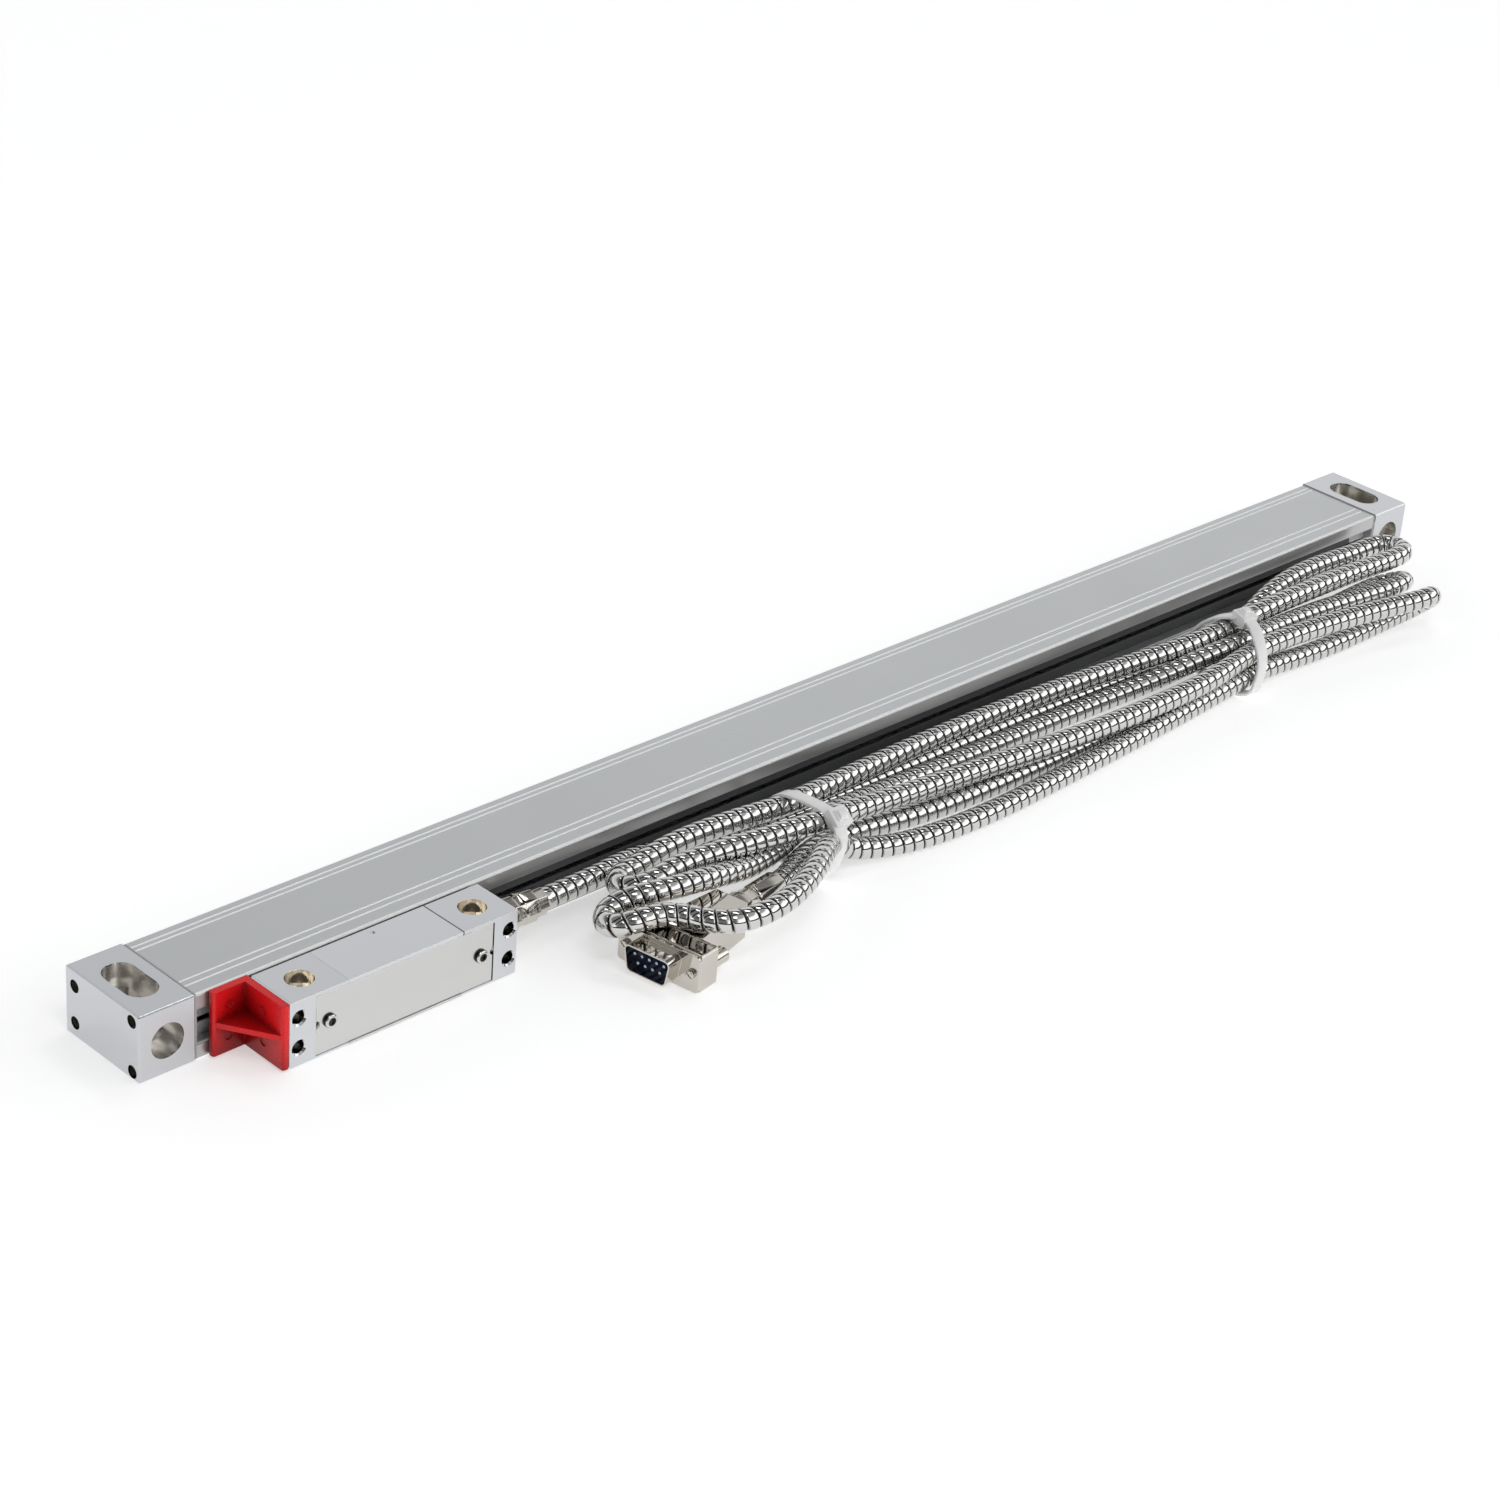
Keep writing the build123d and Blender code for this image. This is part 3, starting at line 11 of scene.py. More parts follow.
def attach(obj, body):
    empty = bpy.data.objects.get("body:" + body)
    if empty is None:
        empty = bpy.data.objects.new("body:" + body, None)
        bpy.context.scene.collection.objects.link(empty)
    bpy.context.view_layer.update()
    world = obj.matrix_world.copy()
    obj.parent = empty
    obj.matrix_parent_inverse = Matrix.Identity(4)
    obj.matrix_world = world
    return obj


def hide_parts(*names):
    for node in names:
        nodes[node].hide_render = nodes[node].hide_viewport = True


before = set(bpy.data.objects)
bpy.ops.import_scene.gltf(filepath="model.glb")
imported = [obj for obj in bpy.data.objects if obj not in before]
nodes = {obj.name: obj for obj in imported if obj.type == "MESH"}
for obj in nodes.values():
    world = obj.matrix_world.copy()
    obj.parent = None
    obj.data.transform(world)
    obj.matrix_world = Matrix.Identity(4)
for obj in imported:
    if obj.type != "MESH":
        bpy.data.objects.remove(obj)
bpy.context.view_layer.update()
scene = bpy.context.scene

# ---------------------------------------------------------------------- view
# The camera stands where the photograph's did: to the left, in front and above,
# with the whole scale running away to the right. The light is a plain white room.
SENSOR_WIDTH = 36.0
PHOTO_WIDTH = 1500
PHOTO_FOCAL = 3560.54  # the photograph's focal length, in its own pixels
camera_data = bpy.data.cameras.new("view")
camera_data.sensor_width = SENSOR_WIDTH
camera_data.lens = SENSOR_WIDTH * PHOTO_FOCAL / PHOTO_WIDTH
camera_data.clip_start = 0.02
camera = bpy.data.objects.new("view", camera_data)
camera.matrix_world = Matrix((
    (0.716309, 0.287648, -0.635736, -0.782414),
    (-0.694248, 0.385390, -0.607860, -0.710672),
    (0.070157, 0.876774, 0.475758, 0.572106),
    (0, 0, 0, 1),
))
scene.collection.objects.link(camera)
scene.camera = camera
scene.view_settings.view_transform = "Standard"

# The room's brightness by height: at the horizon, at heights between, and overhead.
ROOM_HORIZON = 0.9
ROOM_BANDS = ((0.40, 0.92), (0.50, 0.80), (0.60, 0.72), (0.70, 0.26))
ROOM_OVERHEAD = 0.22
ROOM_CAMERA_SIDE = Vector((-0.66, -0.62, 0.42)).normalized()
GAP_DARK = 0.03
world = bpy.data.worlds.new("white_room")
world.use_nodes = True
scene.world = world
room = world.node_tree
room.nodes.clear()
room_out = room.nodes.new("ShaderNodeOutputWorld")
room_light = room.nodes.new("ShaderNodeBackground")
room_light.inputs["Color"].default_value = (0.985, 0.992, 1.0, 1)
room_place = room.nodes.new("ShaderNodeTexCoord")
room_split = room.nodes.new("ShaderNodeSeparateXYZ")
room_band = room.nodes.new("ShaderNodeValToRGB")
room_band.color_ramp.interpolation = "EASE"
room_stops = room_band.color_ramp.elements
room_stops[0].color = (ROOM_HORIZON, ROOM_HORIZON, ROOM_HORIZON, 1)
room_stops[1].color = (ROOM_OVERHEAD, ROOM_OVERHEAD, ROOM_OVERHEAD, 1)
for height, value in ROOM_BANDS:
    room_stops.new(height).color = (value, value, value, 1)
room_front = room.nodes.new("ShaderNodeVectorMath")
room_front.operation = "DOT_PRODUCT"
room_front.inputs[1].default_value = ROOM_CAMERA_SIDE


def room_step(source, places, values):
    # Passes smoothly from the first value to the second between the two places.
    step = room.nodes.new("ShaderNodeMapRange")
    step.interpolation_type = "SMOOTHSTEP"
    step.inputs["From Min"].default_value, step.inputs["From Max"].default_value = places
    step.inputs["To Min"].default_value, step.inputs["To Max"].default_value = values
    room.links.new(source, step.inputs["Value"])
    return step.outputs["Result"]


def room_math(operation, first, second):
    # One sum on two values, each a number or another node's output.
    node = room.nodes.new("ShaderNodeMath")
    node.operation = operation
    for socket, value in zip(node.inputs, (first, second)):
        if isinstance(value, float):
            socket.default_value = value
        else:
            room.links.new(value, socket)
    return node.outputs[0]


def room_gap(along, place, half, limit):
    # A thin dark gap across one axis, seen only where the limit is low.
    off = room_math("ABSOLUTE", room_math("SUBTRACT", along, place), 0.0)
    gap = room_step(off, (half * 0.6, half * 1.3), (GAP_DARK, 1.0))
    return room_math("MAXIMUM", gap, limit)


room.links.new(room_place.outputs["Generated"], room_split.inputs[0])
room.links.new(room_place.outputs["Generated"], room_front.inputs[0])
room.links.new(room_split.outputs["Z"], room_band.inputs["Fac"])
toward_camera = room_front.outputs["Value"]
toward_back, upward = room_split.outputs["Y"], room_split.outputs["Z"]
room_total = room_band.outputs["Color"]
for room_part in (
    room_step(toward_camera, places=(0.80, 0.93), values=(1.0, 0.12)),
    room_step(toward_back, places=(-0.12, 0.1), values=(2.0, 1.0)),
    room_gap(toward_back, -0.09, 0.085, room_step(upward, (0.35, 0.5), (1.0, 0.0))),
    room_gap(toward_back, 0.33, 0.09, room_step(upward, (0.50, 0.58), (1.0, 0.0))),
    room_gap(upward, 0.09, 0.11, room_step(toward_back, (-0.1, 0.1), (0.0, 1.0))),
):
    room_total = room_math("MULTIPLY", room_total, room_part)
room.links.new(room_total, room_light.inputs["Strength"])
room.links.new(room_light.outputs[0], room_out.inputs["Surface"])


def soft_light(name, place, target, width, height, power):
    # A large flat lamp turned to its target.
    data = bpy.data.lights.new(name, "AREA")
    data.shape = "RECTANGLE"
    data.size = width
    data.size_y = height
    data.energy = power
    lamp = bpy.data.objects.new(name, data)
    lamp.location = place
    lamp.rotation_euler = (Vector(target) - Vector(place)).to_track_quat("-Z", "Y").to_euler()
    scene.collection.objects.link(lamp)


soft_light("key_light", (-0.5, -0.9, 1.7), (-0.05, 0, 0), width=0.7, height=0.5, power=4)
soft_light("far_light", (0.7, 0.3, 1.8), (0.05, 0, 0), width=0.8, height=0.3, power=3)

bpy.ops.object.select_all(action="DESELECT")
bpy.ops.mesh.primitive_plane_add(size=12, location=(0, 0, 0))
floor = bpy.context.object
floor.name = "floor"
bpy.ops.object.transform_apply(location=True, rotation=True, scale=True)
floor_paint = bpy.data.materials.new("white_floor")
floor_paint.use_nodes = True
floor_shader = floor_paint.node_tree.nodes["Principled BSDF"]
floor_shader.inputs["Base Color"].default_value = (0.84, 0.84, 0.84, 1)
floor_shader.inputs["Roughness"].default_value = 0.75
floor_shader.inputs["Specular IOR Level"].default_value = 0.2
floor_shader.inputs["Emission Color"].default_value = (1, 1, 1, 1)
floor_shader.inputs["Emission Strength"].default_value = 0.47
floor.data.materials.append(floor_paint)

# ------------------------------------------------------------------- housing
# The housing is one drawn aluminium section with a sealed slot along its front.
# It is clear anodised, so it is satin, with the fine lines of the die along it.
def new_group(name, inputs, outputs):
    # An empty node group with its named inputs and outputs.
    group = bpy.data.node_groups.new(name, "ShaderNodeTree")
    for label, kind, value in inputs:
        socket = group.interface.new_socket(name=label, in_out="INPUT", socket_type=kind)
        socket.default_value = value
    for label, kind in outputs:
        group.interface.new_socket(name=label, in_out="OUTPUT", socket_type=kind)
    start = group.nodes.new("NodeGroupInput")
    end = group.nodes.new("NodeGroupOutput")
    return group, start, end


def add_node(tree, kind, **settings):
    # A node with its settings.
    node = tree.nodes.new(kind)
    for name, value in settings.items():
        setattr(node, name, value)
    return node


def make_grain_group():
    # Lines or specks of a surface: their stretch, and how rough and deep they are.
    group, start, end = new_group(
        "surface_grain",
        [
            ("Stretch", "NodeSocketVector", (1, 1, 1)),
            ("Low roughness", "NodeSocketFloat", 0.2),
            ("High roughness", "NodeSocketFloat", 0.4),
            ("Depth", "NodeSocketFloat", 0.1),
            ("Colour", "NodeSocketColor", (0.6, 0.6, 0.6, 1)),
            ("Shade", "NodeSocketFloat", 0.1),
            ("Normal", "NodeSocketVector", (0, 0, 0)),
        ],
        [
            ("Colour", "NodeSocketColor"),
            ("Roughness", "NodeSocketFloat"),
            ("Normal", "NodeSocketVector"),
        ],
    )
    place = add_node(group, "ShaderNodeTexCoord")
    stretched = add_node(group, "ShaderNodeVectorMath", operation="MULTIPLY")
    fine = add_node(group, "ShaderNodeTexNoise")
    fine.inputs["Scale"].default_value = 1
    fine.inputs["Detail"].default_value = 4
    broad = add_node(group, "ShaderNodeTexNoise")
    broad.inputs["Scale"].default_value = 22
    broad.inputs["Detail"].default_value = 2
    rough = add_node(group, "ShaderNodeMapRange")
    rough.inputs["From Min"].default_value = 0.3
    rough.inputs["From Max"].default_value = 0.7
    both = add_node(group, "ShaderNodeMath", operation="ADD")
    halved = add_node(group, "ShaderNodeMath", operation="MULTIPLY")
    halved.inputs[1].default_value = 0.5
    darker = add_node(group, "ShaderNodeMath", operation="MULTIPLY")
    shade = add_node(group, "ShaderNodeMix", data_type="RGBA", blend_type="MULTIPLY")
    shade.inputs["B"].default_value = (0.55, 0.55, 0.56, 1)
    bump = add_node(group, "ShaderNodeBump")
    bump.inputs["Distance"].default_value = 0.0001
    link = group.links.new
    link(place.outputs["Object"], stretched.inputs[0])
    link(start.outputs["Stretch"], stretched.inputs[1])
    link(stretched.outputs[0], fine.inputs["Vector"])
    link(place.outputs["Object"], broad.inputs["Vector"])
    link(fine.outputs["Fac"], both.inputs[0])
    link(broad.outputs["Fac"], both.inputs[1])
    link(both.outputs[0], halved.inputs[0])
    link(halved.outputs[0], rough.inputs["Value"])
    link(start.outputs["Low roughness"], rough.inputs["To Min"])
    link(start.outputs["High roughness"], rough.inputs["To Max"])
    link(halved.outputs[0], darker.inputs[0])
    link(start.outputs["Shade"], darker.inputs[1])
    link(darker.outputs[0], shade.inputs["Factor"])
    link(start.outputs["Colour"], shade.inputs["A"])
    link(fine.outputs["Fac"], bump.inputs["Height"])
    link(start.outputs["Depth"], bump.inputs["Strength"])
    link(start.outputs["Normal"], bump.inputs["Normal"])
    link(shade.outputs["Result"], end.inputs["Colour"])
    link(rough.outputs["Result"], end.inputs["Roughness"])
    link(bump.outputs["Normal"], end.inputs["Normal"])
    return group


def make_edge_group():
    # Broken edges: a normal rounded over the given radius, and a mask of the edge itself, where a
    # highlight is painted.
    group, start, end = new_group(
        "broken_edge",
        [("Radius", "NodeSocketFloat", 0.0003)],
        [("Normal", "NodeSocketVector"), ("Edge", "NodeSocketFloat")],
    )
    rounded = add_node(group, "ShaderNodeBevel", samples=4)
    flat = add_node(group, "ShaderNodeNewGeometry")
    alike = add_node(group, "ShaderNodeVectorMath", operation="DOT_PRODUCT")
    edge = add_node(group, "ShaderNodeMapRange")
    edge.inputs["From Min"].default_value = 0.995
    edge.inputs["From Max"].default_value = 0.90
    link = group.links.new
    link(start.outputs["Radius"], rounded.inputs["Radius"])
    link(rounded.outputs["Normal"], alike.inputs[0])
    link(flat.outputs["Normal"], alike.inputs[1])
    link(alike.outputs["Value"], edge.inputs["Value"])
    link(rounded.outputs["Normal"], end.inputs["Normal"])
    link(edge.outputs["Result"], end.inputs["Edge"])
    return group


grain_group = make_grain_group()
edge_group = make_edge_group()


def new_metal(name, colour, stretch, rough, depth, shade, edge, metallic=1.0, highlight_colour=None):
    # A material with grain and broken edges, with a painted highlight in a lighter colour along the
    # edges, built the same way for metals and mouldings.
    # The grain has its stretch, its roughness from and to, its depth and how much it shades.
    made = bpy.data.materials.new(name)
    made.use_nodes = True
    tree = made.node_tree
    shader = tree.nodes["Principled BSDF"]
    shader.inputs["Metallic"].default_value = metallic
    edges = add_node(tree, "ShaderNodeGroup", node_tree=edge_group)
    edges.inputs["Radius"].default_value = edge
    grain = add_node(tree, "ShaderNodeGroup", node_tree=grain_group)
    grain.inputs["Stretch"].default_value = stretch
    grain.inputs["Low roughness"].default_value, grain.inputs["High roughness"].default_value = rough
    grain.inputs["Depth"].default_value = depth
    grain.inputs["Colour"].default_value = (*colour, 1)
    grain.inputs["Shade"].default_value = shade
    # The painted highlight: a lighter colour laid over the edge mask.
    highlight_mix = add_node(tree, "ShaderNodeMix", data_type="RGBA")
    highlight = highlight_colour or tuple(min(1, c * 1.15 + 0.03) for c in colour)
    highlight_mix.inputs["B"].default_value = (*highlight, 1)
    tree.links.new(edges.outputs["Normal"], grain.inputs["Normal"])
    tree.links.new(edges.outputs["Edge"], highlight_mix.inputs["Factor"])
    tree.links.new(grain.outputs["Colour"], highlight_mix.inputs["A"])
    tree.links.new(highlight_mix.outputs["Result"], shader.inputs["Base Color"])
    tree.links.new(grain.outputs["Roughness"], shader.inputs["Roughness"])
    tree.links.new(grain.outputs["Normal"], shader.inputs["Normal"])
    return made


def dress(material, *names):
    # Gives the CAD nodes of these names one material.
    for name in names:
        piece = nodes[name]
        piece.data.materials.clear()
        piece.data.materials.append(material)


def make_line_group():
    # A mask along one axis: 1 within Half width of Place, such as a joint or a groove.
    group, start, end = new_group(
        "joint_line",
        [
            ("Along", "NodeSocketVector", (1, 0, 0)),
            ("Place", "NodeSocketFloat", 0.0),
            ("Half width", "NodeSocketFloat", 0.0003),
        ],
        [("Mask", "NodeSocketFloat")],
    )
    place = add_node(group, "ShaderNodeTexCoord")
    along = add_node(group, "ShaderNodeVectorMath", operation="DOT_PRODUCT")
    off = add_node(group, "ShaderNodeMath", operation="SUBTRACT")
    size = add_node(group, "ShaderNodeMath", operation="ABSOLUTE")
    inside = add_node(group, "ShaderNodeMath", operation="LESS_THAN")
    link = group.links.new
    link(place.outputs["Object"], along.inputs[0])
    link(start.outputs["Along"], along.inputs[1])
    link(along.outputs["Value"], off.inputs[0])
    link(start.outputs["Place"], off.inputs[1])
    link(off.outputs[0], size.inputs[0])
    link(size.outputs[0], inside.inputs[0])
    link(start.outputs["Half width"], inside.inputs[1])
    link(inside.outputs[0], end.inputs["Mask"])
    return group


line_group = make_line_group()


def joined(tree, operation, sockets):
    # One value out of several, by MAXIMUM or MINIMUM.
    total, *others = sockets
    for other in others:
        node = add_node(tree, "ShaderNodeMath", operation=operation)
        tree.links.new(total, node.inputs[0])
        tree.links.new(other, node.inputs[1])
        total = node.outputs[0]
    return total


def lay_over(made, mask, name, mix):
    # Puts a mix node before one of the shader's inputs; its B shows wherever the mask is 1.
    tree = made.node_tree
    socket = tree.nodes["Principled BSDF"].inputs[name]
    tree.links.new(mask, mix.inputs["Factor"])
    tree.links.new(socket.links[0].from_socket, mix.inputs["A"])
    tree.links.new(mix.outputs["Result"], socket)


def tint(made, mask, colour):
    # Lays a colour over the material's own wherever the mask is 1.
    mix = add_node(made.node_tree, "ShaderNodeMix", data_type="RGBA")
    mix.inputs["B"].default_value = (*colour, 1)
    lay_over(made, mask, "Base Color", mix)


def less_metal(made, mask, drop):
    # Lowers Metallic by the drop wherever the mask is 1.
    tree = made.node_tree
    metallic = tree.nodes["Principled BSDF"].inputs["Metallic"]
    lowered = add_node(tree, "ShaderNodeMath", operation="MULTIPLY_ADD")
    lowered.inputs[1].default_value = -drop
    lowered.inputs[2].default_value = metallic.default_value
    tree.links.new(mask, lowered.inputs[0])
    tree.links.new(lowered.outputs[0], metallic)


def draw_lines(made, along, places, half_width, colour, bare=False):
    # Puts lines on a finished material; bare lines aren't metallic, so their colour shows plain.
    tree = made.node_tree
    lines = []
    for spot in places:
        line = add_node(tree, "ShaderNodeGroup", node_tree=line_group)
        line.inputs["Along"].default_value = along
        line.inputs["Place"].default_value = spot
        line.inputs["Half width"].default_value = half_width
        lines.append(line.outputs["Mask"])
    mask = joined(tree, "MAXIMUM", lines)
    tint(made, mask, colour)
    if bare:
        metallic = tree.nodes["Principled BSDF"].inputs["Metallic"]
        less_metal(made, mask, metallic.default_value)


HOUSING_GROOVE_HIGHLIGHTS = (-0.0118, -0.0090, 0.0119, 0.0141)
HOUSING_FRONT = -0.0175
HOUSING_FRONT_EDGE = HOUSING_FRONT + 0.0007
anodised = new_metal(
    "anodised_aluminium", (0.605, 0.618, 0.626), metallic=0.82,
    stretch=(5, 5200, 5200), rough=(0.27, 0.33), depth=0.012, shade=0.06, edge=0.00025,
)
# The housing's front faces are painted a darker grey than its top: painted shade.
draw_lines(anodised, (0, 1, 0), (HOUSING_FRONT,), half_width=0.0003, colour=(0.52, 0.52, 0.516))
# Painted highlights: bright white lines, not metallic, along the die's grooves on the top and along
# the front top edge.
draw_lines(
    anodised, (0, 1, 0), (*HOUSING_GROOVE_HIGHLIGHTS, HOUSING_FRONT_EDGE),
    half_width=0.0004, colour=(0.97, 0.98, 0.98), bare=True,
)
dress(anodised, "housing", "carriage")

# --------------------------------------------------------------- glass scale
# A strip of float glass with its grating on the front face, held in the housing's
# groove by a grey elastic strip pressed in above it.
glass = bpy.data.materials.new("scale_glass")
glass.use_nodes = True
glass_shader = glass.node_tree.nodes["Principled BSDF"]
glass_shader.inputs["Roughness"].default_value = 0.03
glass_shader.inputs["IOR"].default_value = 1.52
glass_shader.inputs["Transmission Weight"].default_value = 0.85
glass_shader.inputs["Base Color"].default_value = (0.80, 0.90, 0.87, 1)
dress(glass, "glass_scale", "index_grating")
strip_rubber = new_metal(
    "strip_rubber", (0.42, 0.42, 0.43), metallic=0,
    stretch=(900, 900, 900), rough=(0.55, 0.75), depth=0.2, shade=0.3, edge=0.0003,
)
dress(strip_rubber, "glass_clamp_strip")

# --------------------------------------------------------------- rubber seals
# Two lips of black oil-proof rubber close the slot from above and below, and a sheet
# of it lies under the head's cover. The sheets behind the end blocks are grey.
LIP_ENDS = (-0.272, 0.272)
rubber = new_metal(
    "black_rubber", (0.055, 0.056, 0.058), metallic=0, highlight_colour=(0.07, 0.07, 0.072),
    stretch=(700, 1500, 1500), rough=(0.42, 0.62), depth=0.25, shade=0.4, edge=0.0003,
)
# The lips are painted a mid grey for 6 mm either side of each end.
draw_lines(rubber, (1, 0, 0), LIP_ENDS, half_width=0.006, colour=(0.50, 0.50, 0.51))
dress(rubber, "upper_lip_seal", "lower_lip_seal", "cover_gasket")
gasket_rubber = new_metal(
    "gasket_rubber", (0.42, 0.42, 0.425), metallic=0,
    stretch=(700, 700, 700), rough=(0.45, 0.6), depth=0.15, shade=0.3, edge=0.0002,
)
dress(gasket_rubber, "left_gasket", "right_gasket")

# ------------------------------------------------------------------ end blocks
# Cast zinc blocks close the ends; they are milled, polished and plated, with a
# counterbored slot from the top and a bore from the front.
def milled_inside_painted_light(made, names, wall, colour, roughness):
    # Slots and bores keep the cutter's satin face, and a lighter warm grey is painted in them: a
    # painted reflection.
    # A box just inside each piece's outer faces is the mask. No grain there, so the normal is the
    # plain one.
    tree = made.node_tree
    place = add_node(tree, "ShaderNodeTexCoord")
    boxes = []
    for name in names:
        corners = [Vector(corner) for corner in nodes[name].bound_box]
        low = Vector([min(corner[k] for corner in corners) for k in range(3)])
        high = Vector([max(corner[k] for corner in corners) for k in range(3)])
        off = add_node(tree, "ShaderNodeVectorMath", operation="SUBTRACT")
        off.inputs[1].default_value = (low + high) / 2
        flip = add_node(tree, "ShaderNodeVectorMath", operation="ABSOLUTE")
        past = add_node(tree, "ShaderNodeVectorMath", operation="SUBTRACT")
        past.inputs[1].default_value = (high - low) / 2 - Vector((wall, wall, wall))
        parts = add_node(tree, "ShaderNodeSeparateXYZ")
        within = add_node(tree, "ShaderNodeMath", operation="LESS_THAN")
        within.inputs[1].default_value = 0
        tree.links.new(place.outputs["Object"], off.inputs[0])
        tree.links.new(off.outputs[0], flip.inputs[0])
        tree.links.new(flip.outputs[0], past.inputs[0])
        tree.links.new(past.outputs[0], parts.inputs[0])
        tree.links.new(joined(tree, "MAXIMUM", parts.outputs), within.inputs[0])
        boxes.append(within.outputs[0])
    mask = joined(tree, "MAXIMUM", boxes)
    tint(made, mask, colour)
    rough = add_node(tree, "ShaderNodeMix", data_type="FLOAT")
    rough.inputs["B"].default_value = roughness
    lay_over(made, mask, "Roughness", rough)
    turn = add_node(tree, "ShaderNodeMix", data_type="VECTOR")
    plain = add_node(tree, "ShaderNodeNewGeometry")
    tree.links.new(plain.outputs["True Normal"], turn.inputs["B"])
    lay_over(made, mask, "Normal", turn)


MILLED_WALL = 0.0006
plating = new_metal(
    "satin_plating", (0.60, 0.61, 0.628),
    stretch=(160, 160, 160), rough=(0.045, 0.09), depth=0.008, shade=0.05, edge=0.00022,
)
milled_inside_painted_light(
    plating, ("left_end_block", "right_end_block"), MILLED_WALL,
    colour=(0.70, 0.68, 0.64), roughness=0.25,
)
dress(plating, "left_end_block", "right_end_block")
end_screw_steel = new_metal(
    "end_screw_steel", (0.80, 0.75, 0.64), metallic=0.35,
    stretch=(900, 900, 900), rough=(0.2, 0.3), depth=0.06, shade=0.2, edge=0.0002,
)
dress(end_screw_steel, "left_end_screws", "right_end_screws")

# ----------------------------------------------------------------- reader head
# Two plated blocks stand at the ends of the head and a plated channel joins them.
# The joints between the three are open by a hair, and the shade in them is painted on as dark lines.
def nearest_axis(tree, flatten, centres):
    # Distance to the nearest of several parallel axes; flatten drops the axes' own direction.
    place = add_node(tree, "ShaderNodeTexCoord")
    flat = add_node(tree, "ShaderNodeVectorMath", operation="MULTIPLY")
    flat.inputs[1].default_value = flatten
    tree.links.new(place.outputs["Object"], flat.inputs[0])
    gaps = []
    for centre in centres:
        gap = add_node(tree, "ShaderNodeVectorMath", operation="DISTANCE")
        gap.inputs[1].default_value = centre
        tree.links.new(flat.outputs[0], gap.inputs[0])
        gaps.append(gap.outputs["Value"])
    return joined(tree, "MINIMUM", gaps)


def paint_bore_reflections(made, centres, reach):
    # Inside the upright bores a warm grey is painted on the plating, a little less metallic: a painted
    # reflection.
    tree = made.node_tree
    near = add_node(tree, "ShaderNodeMath", operation="LESS_THAN")
    near.inputs[1].default_value = reach
    tree.links.new(nearest_axis(tree, (1, 1, 0), centres), near.inputs[0])
    tint(made, near.outputs[0], (0.90, 0.85, 0.76))
    less_metal(made, near.outputs[0], 0.08)


HEAD_BORES = ((-0.2473, -0.0288, 0), (-0.1829, -0.0288, 0))
HEAD_BORE_REACH = 0.00455
HEAD_LEFT_JOINT = -0.2366
HEAD_RIGHT_JOINT = -0.1936
JOINT_SHADE = (0.012, 0.012, 0.012)
block_plating = new_metal(
    "head_block_plating", (0.65, 0.66, 0.678),
    stretch=(160, 160, 160), rough=(0.045, 0.09), depth=0.008, shade=0.05, edge=0.00022,
)
milled_inside_painted_light(
    block_plating, ("head_left_block", "head_right_block"), MILLED_WALL,
    colour=(0.72, 0.70, 0.67), roughness=0.10,
)
paint_bore_reflections(block_plating, HEAD_BORES, HEAD_BORE_REACH)
dress(block_plating, "head_left_block", "head_right_block")
body_plating = new_metal(
    "head_body_plating", (0.68, 0.69, 0.71),
    stretch=(160, 160, 160), rough=(0.045, 0.09), depth=0.008, shade=0.05, edge=0.00022,
)
# Painted shade in the joints: a black line, not metallic, at the right joint and a thin grey one at
# the left.
draw_lines(
    body_plating, (1, 0, 0), (HEAD_RIGHT_JOINT,), half_width=0.00045, colour=JOINT_SHADE, bare=True
)
draw_lines(
    body_plating, (1, 0, 0), (HEAD_LEFT_JOINT,), half_width=0.00012, colour=(0.30, 0.30, 0.31)
)
dress(body_plating, "head_body")
screw_metal = new_metal(
    "screw_steel", (0.66, 0.645, 0.61), metallic=0.85,
    stretch=(900, 900, 900), rough=(0.16, 0.26), depth=0.06, shade=0.2, edge=0.0002,
)
dress(screw_metal, "head_block_screws")

# ------------------------------------------------------------------ head cover
# The head's front cover and its bottom plate are folded from brushed stainless
# sheet; the brushing runs along the head.
COVER_RIGHT_END = -0.1820
brushed = new_metal(
    "brushed_cover", (0.64, 0.637, 0.626),
    stretch=(22, 6200, 6200), rough=(0.17, 0.24), depth=0.03, shade=0.08, edge=0.0003,
)
# A black line, not metallic, at the cover's right end is painted shade in the gap there.
draw_lines(brushed, (1, 0, 0), (COVER_RIGHT_END,), half_width=0.0004, colour=JOINT_SHADE, bare=True)
dress(brushed, "head_cover", "bottom_plate")
COVER_SCREW_AXES = ((-0.24335, 0, 0.0115), (-0.18685, 0, 0.0115))
# Painted shade: dark rings round the screw's head where it sits in its recess, and round its socket:
# radius and half width.
COVER_SCREW_SHADE_RINGS = ((0.00235, 0.00022), (0.00105, 0.0003))
cover_screw_steel = new_metal(
    "cover_screw_steel", (0.66, 0.645, 0.61),
    stretch=(900, 900, 900), rough=(0.12, 0.2), depth=0.05, shade=0.2, edge=0.0002,
)
ring_tree = cover_screw_steel.node_tree
screw_gap = nearest_axis(ring_tree, (1, 0, 1), COVER_SCREW_AXES)
# Each ring is painted shade, a near-black tint.
for ring_radius, ring_half in COVER_SCREW_SHADE_RINGS:
    ring = add_node(ring_tree, "ShaderNodeMath", operation="COMPARE")
    ring.inputs[1].default_value = ring_radius
    ring.inputs[2].default_value = ring_half
    ring_tree.links.new(screw_gap, ring.inputs[0])
    tint(cover_screw_steel, ring.outputs[0], (0.03, 0.029, 0.027))
dress(cover_screw_steel, "cover_screws")

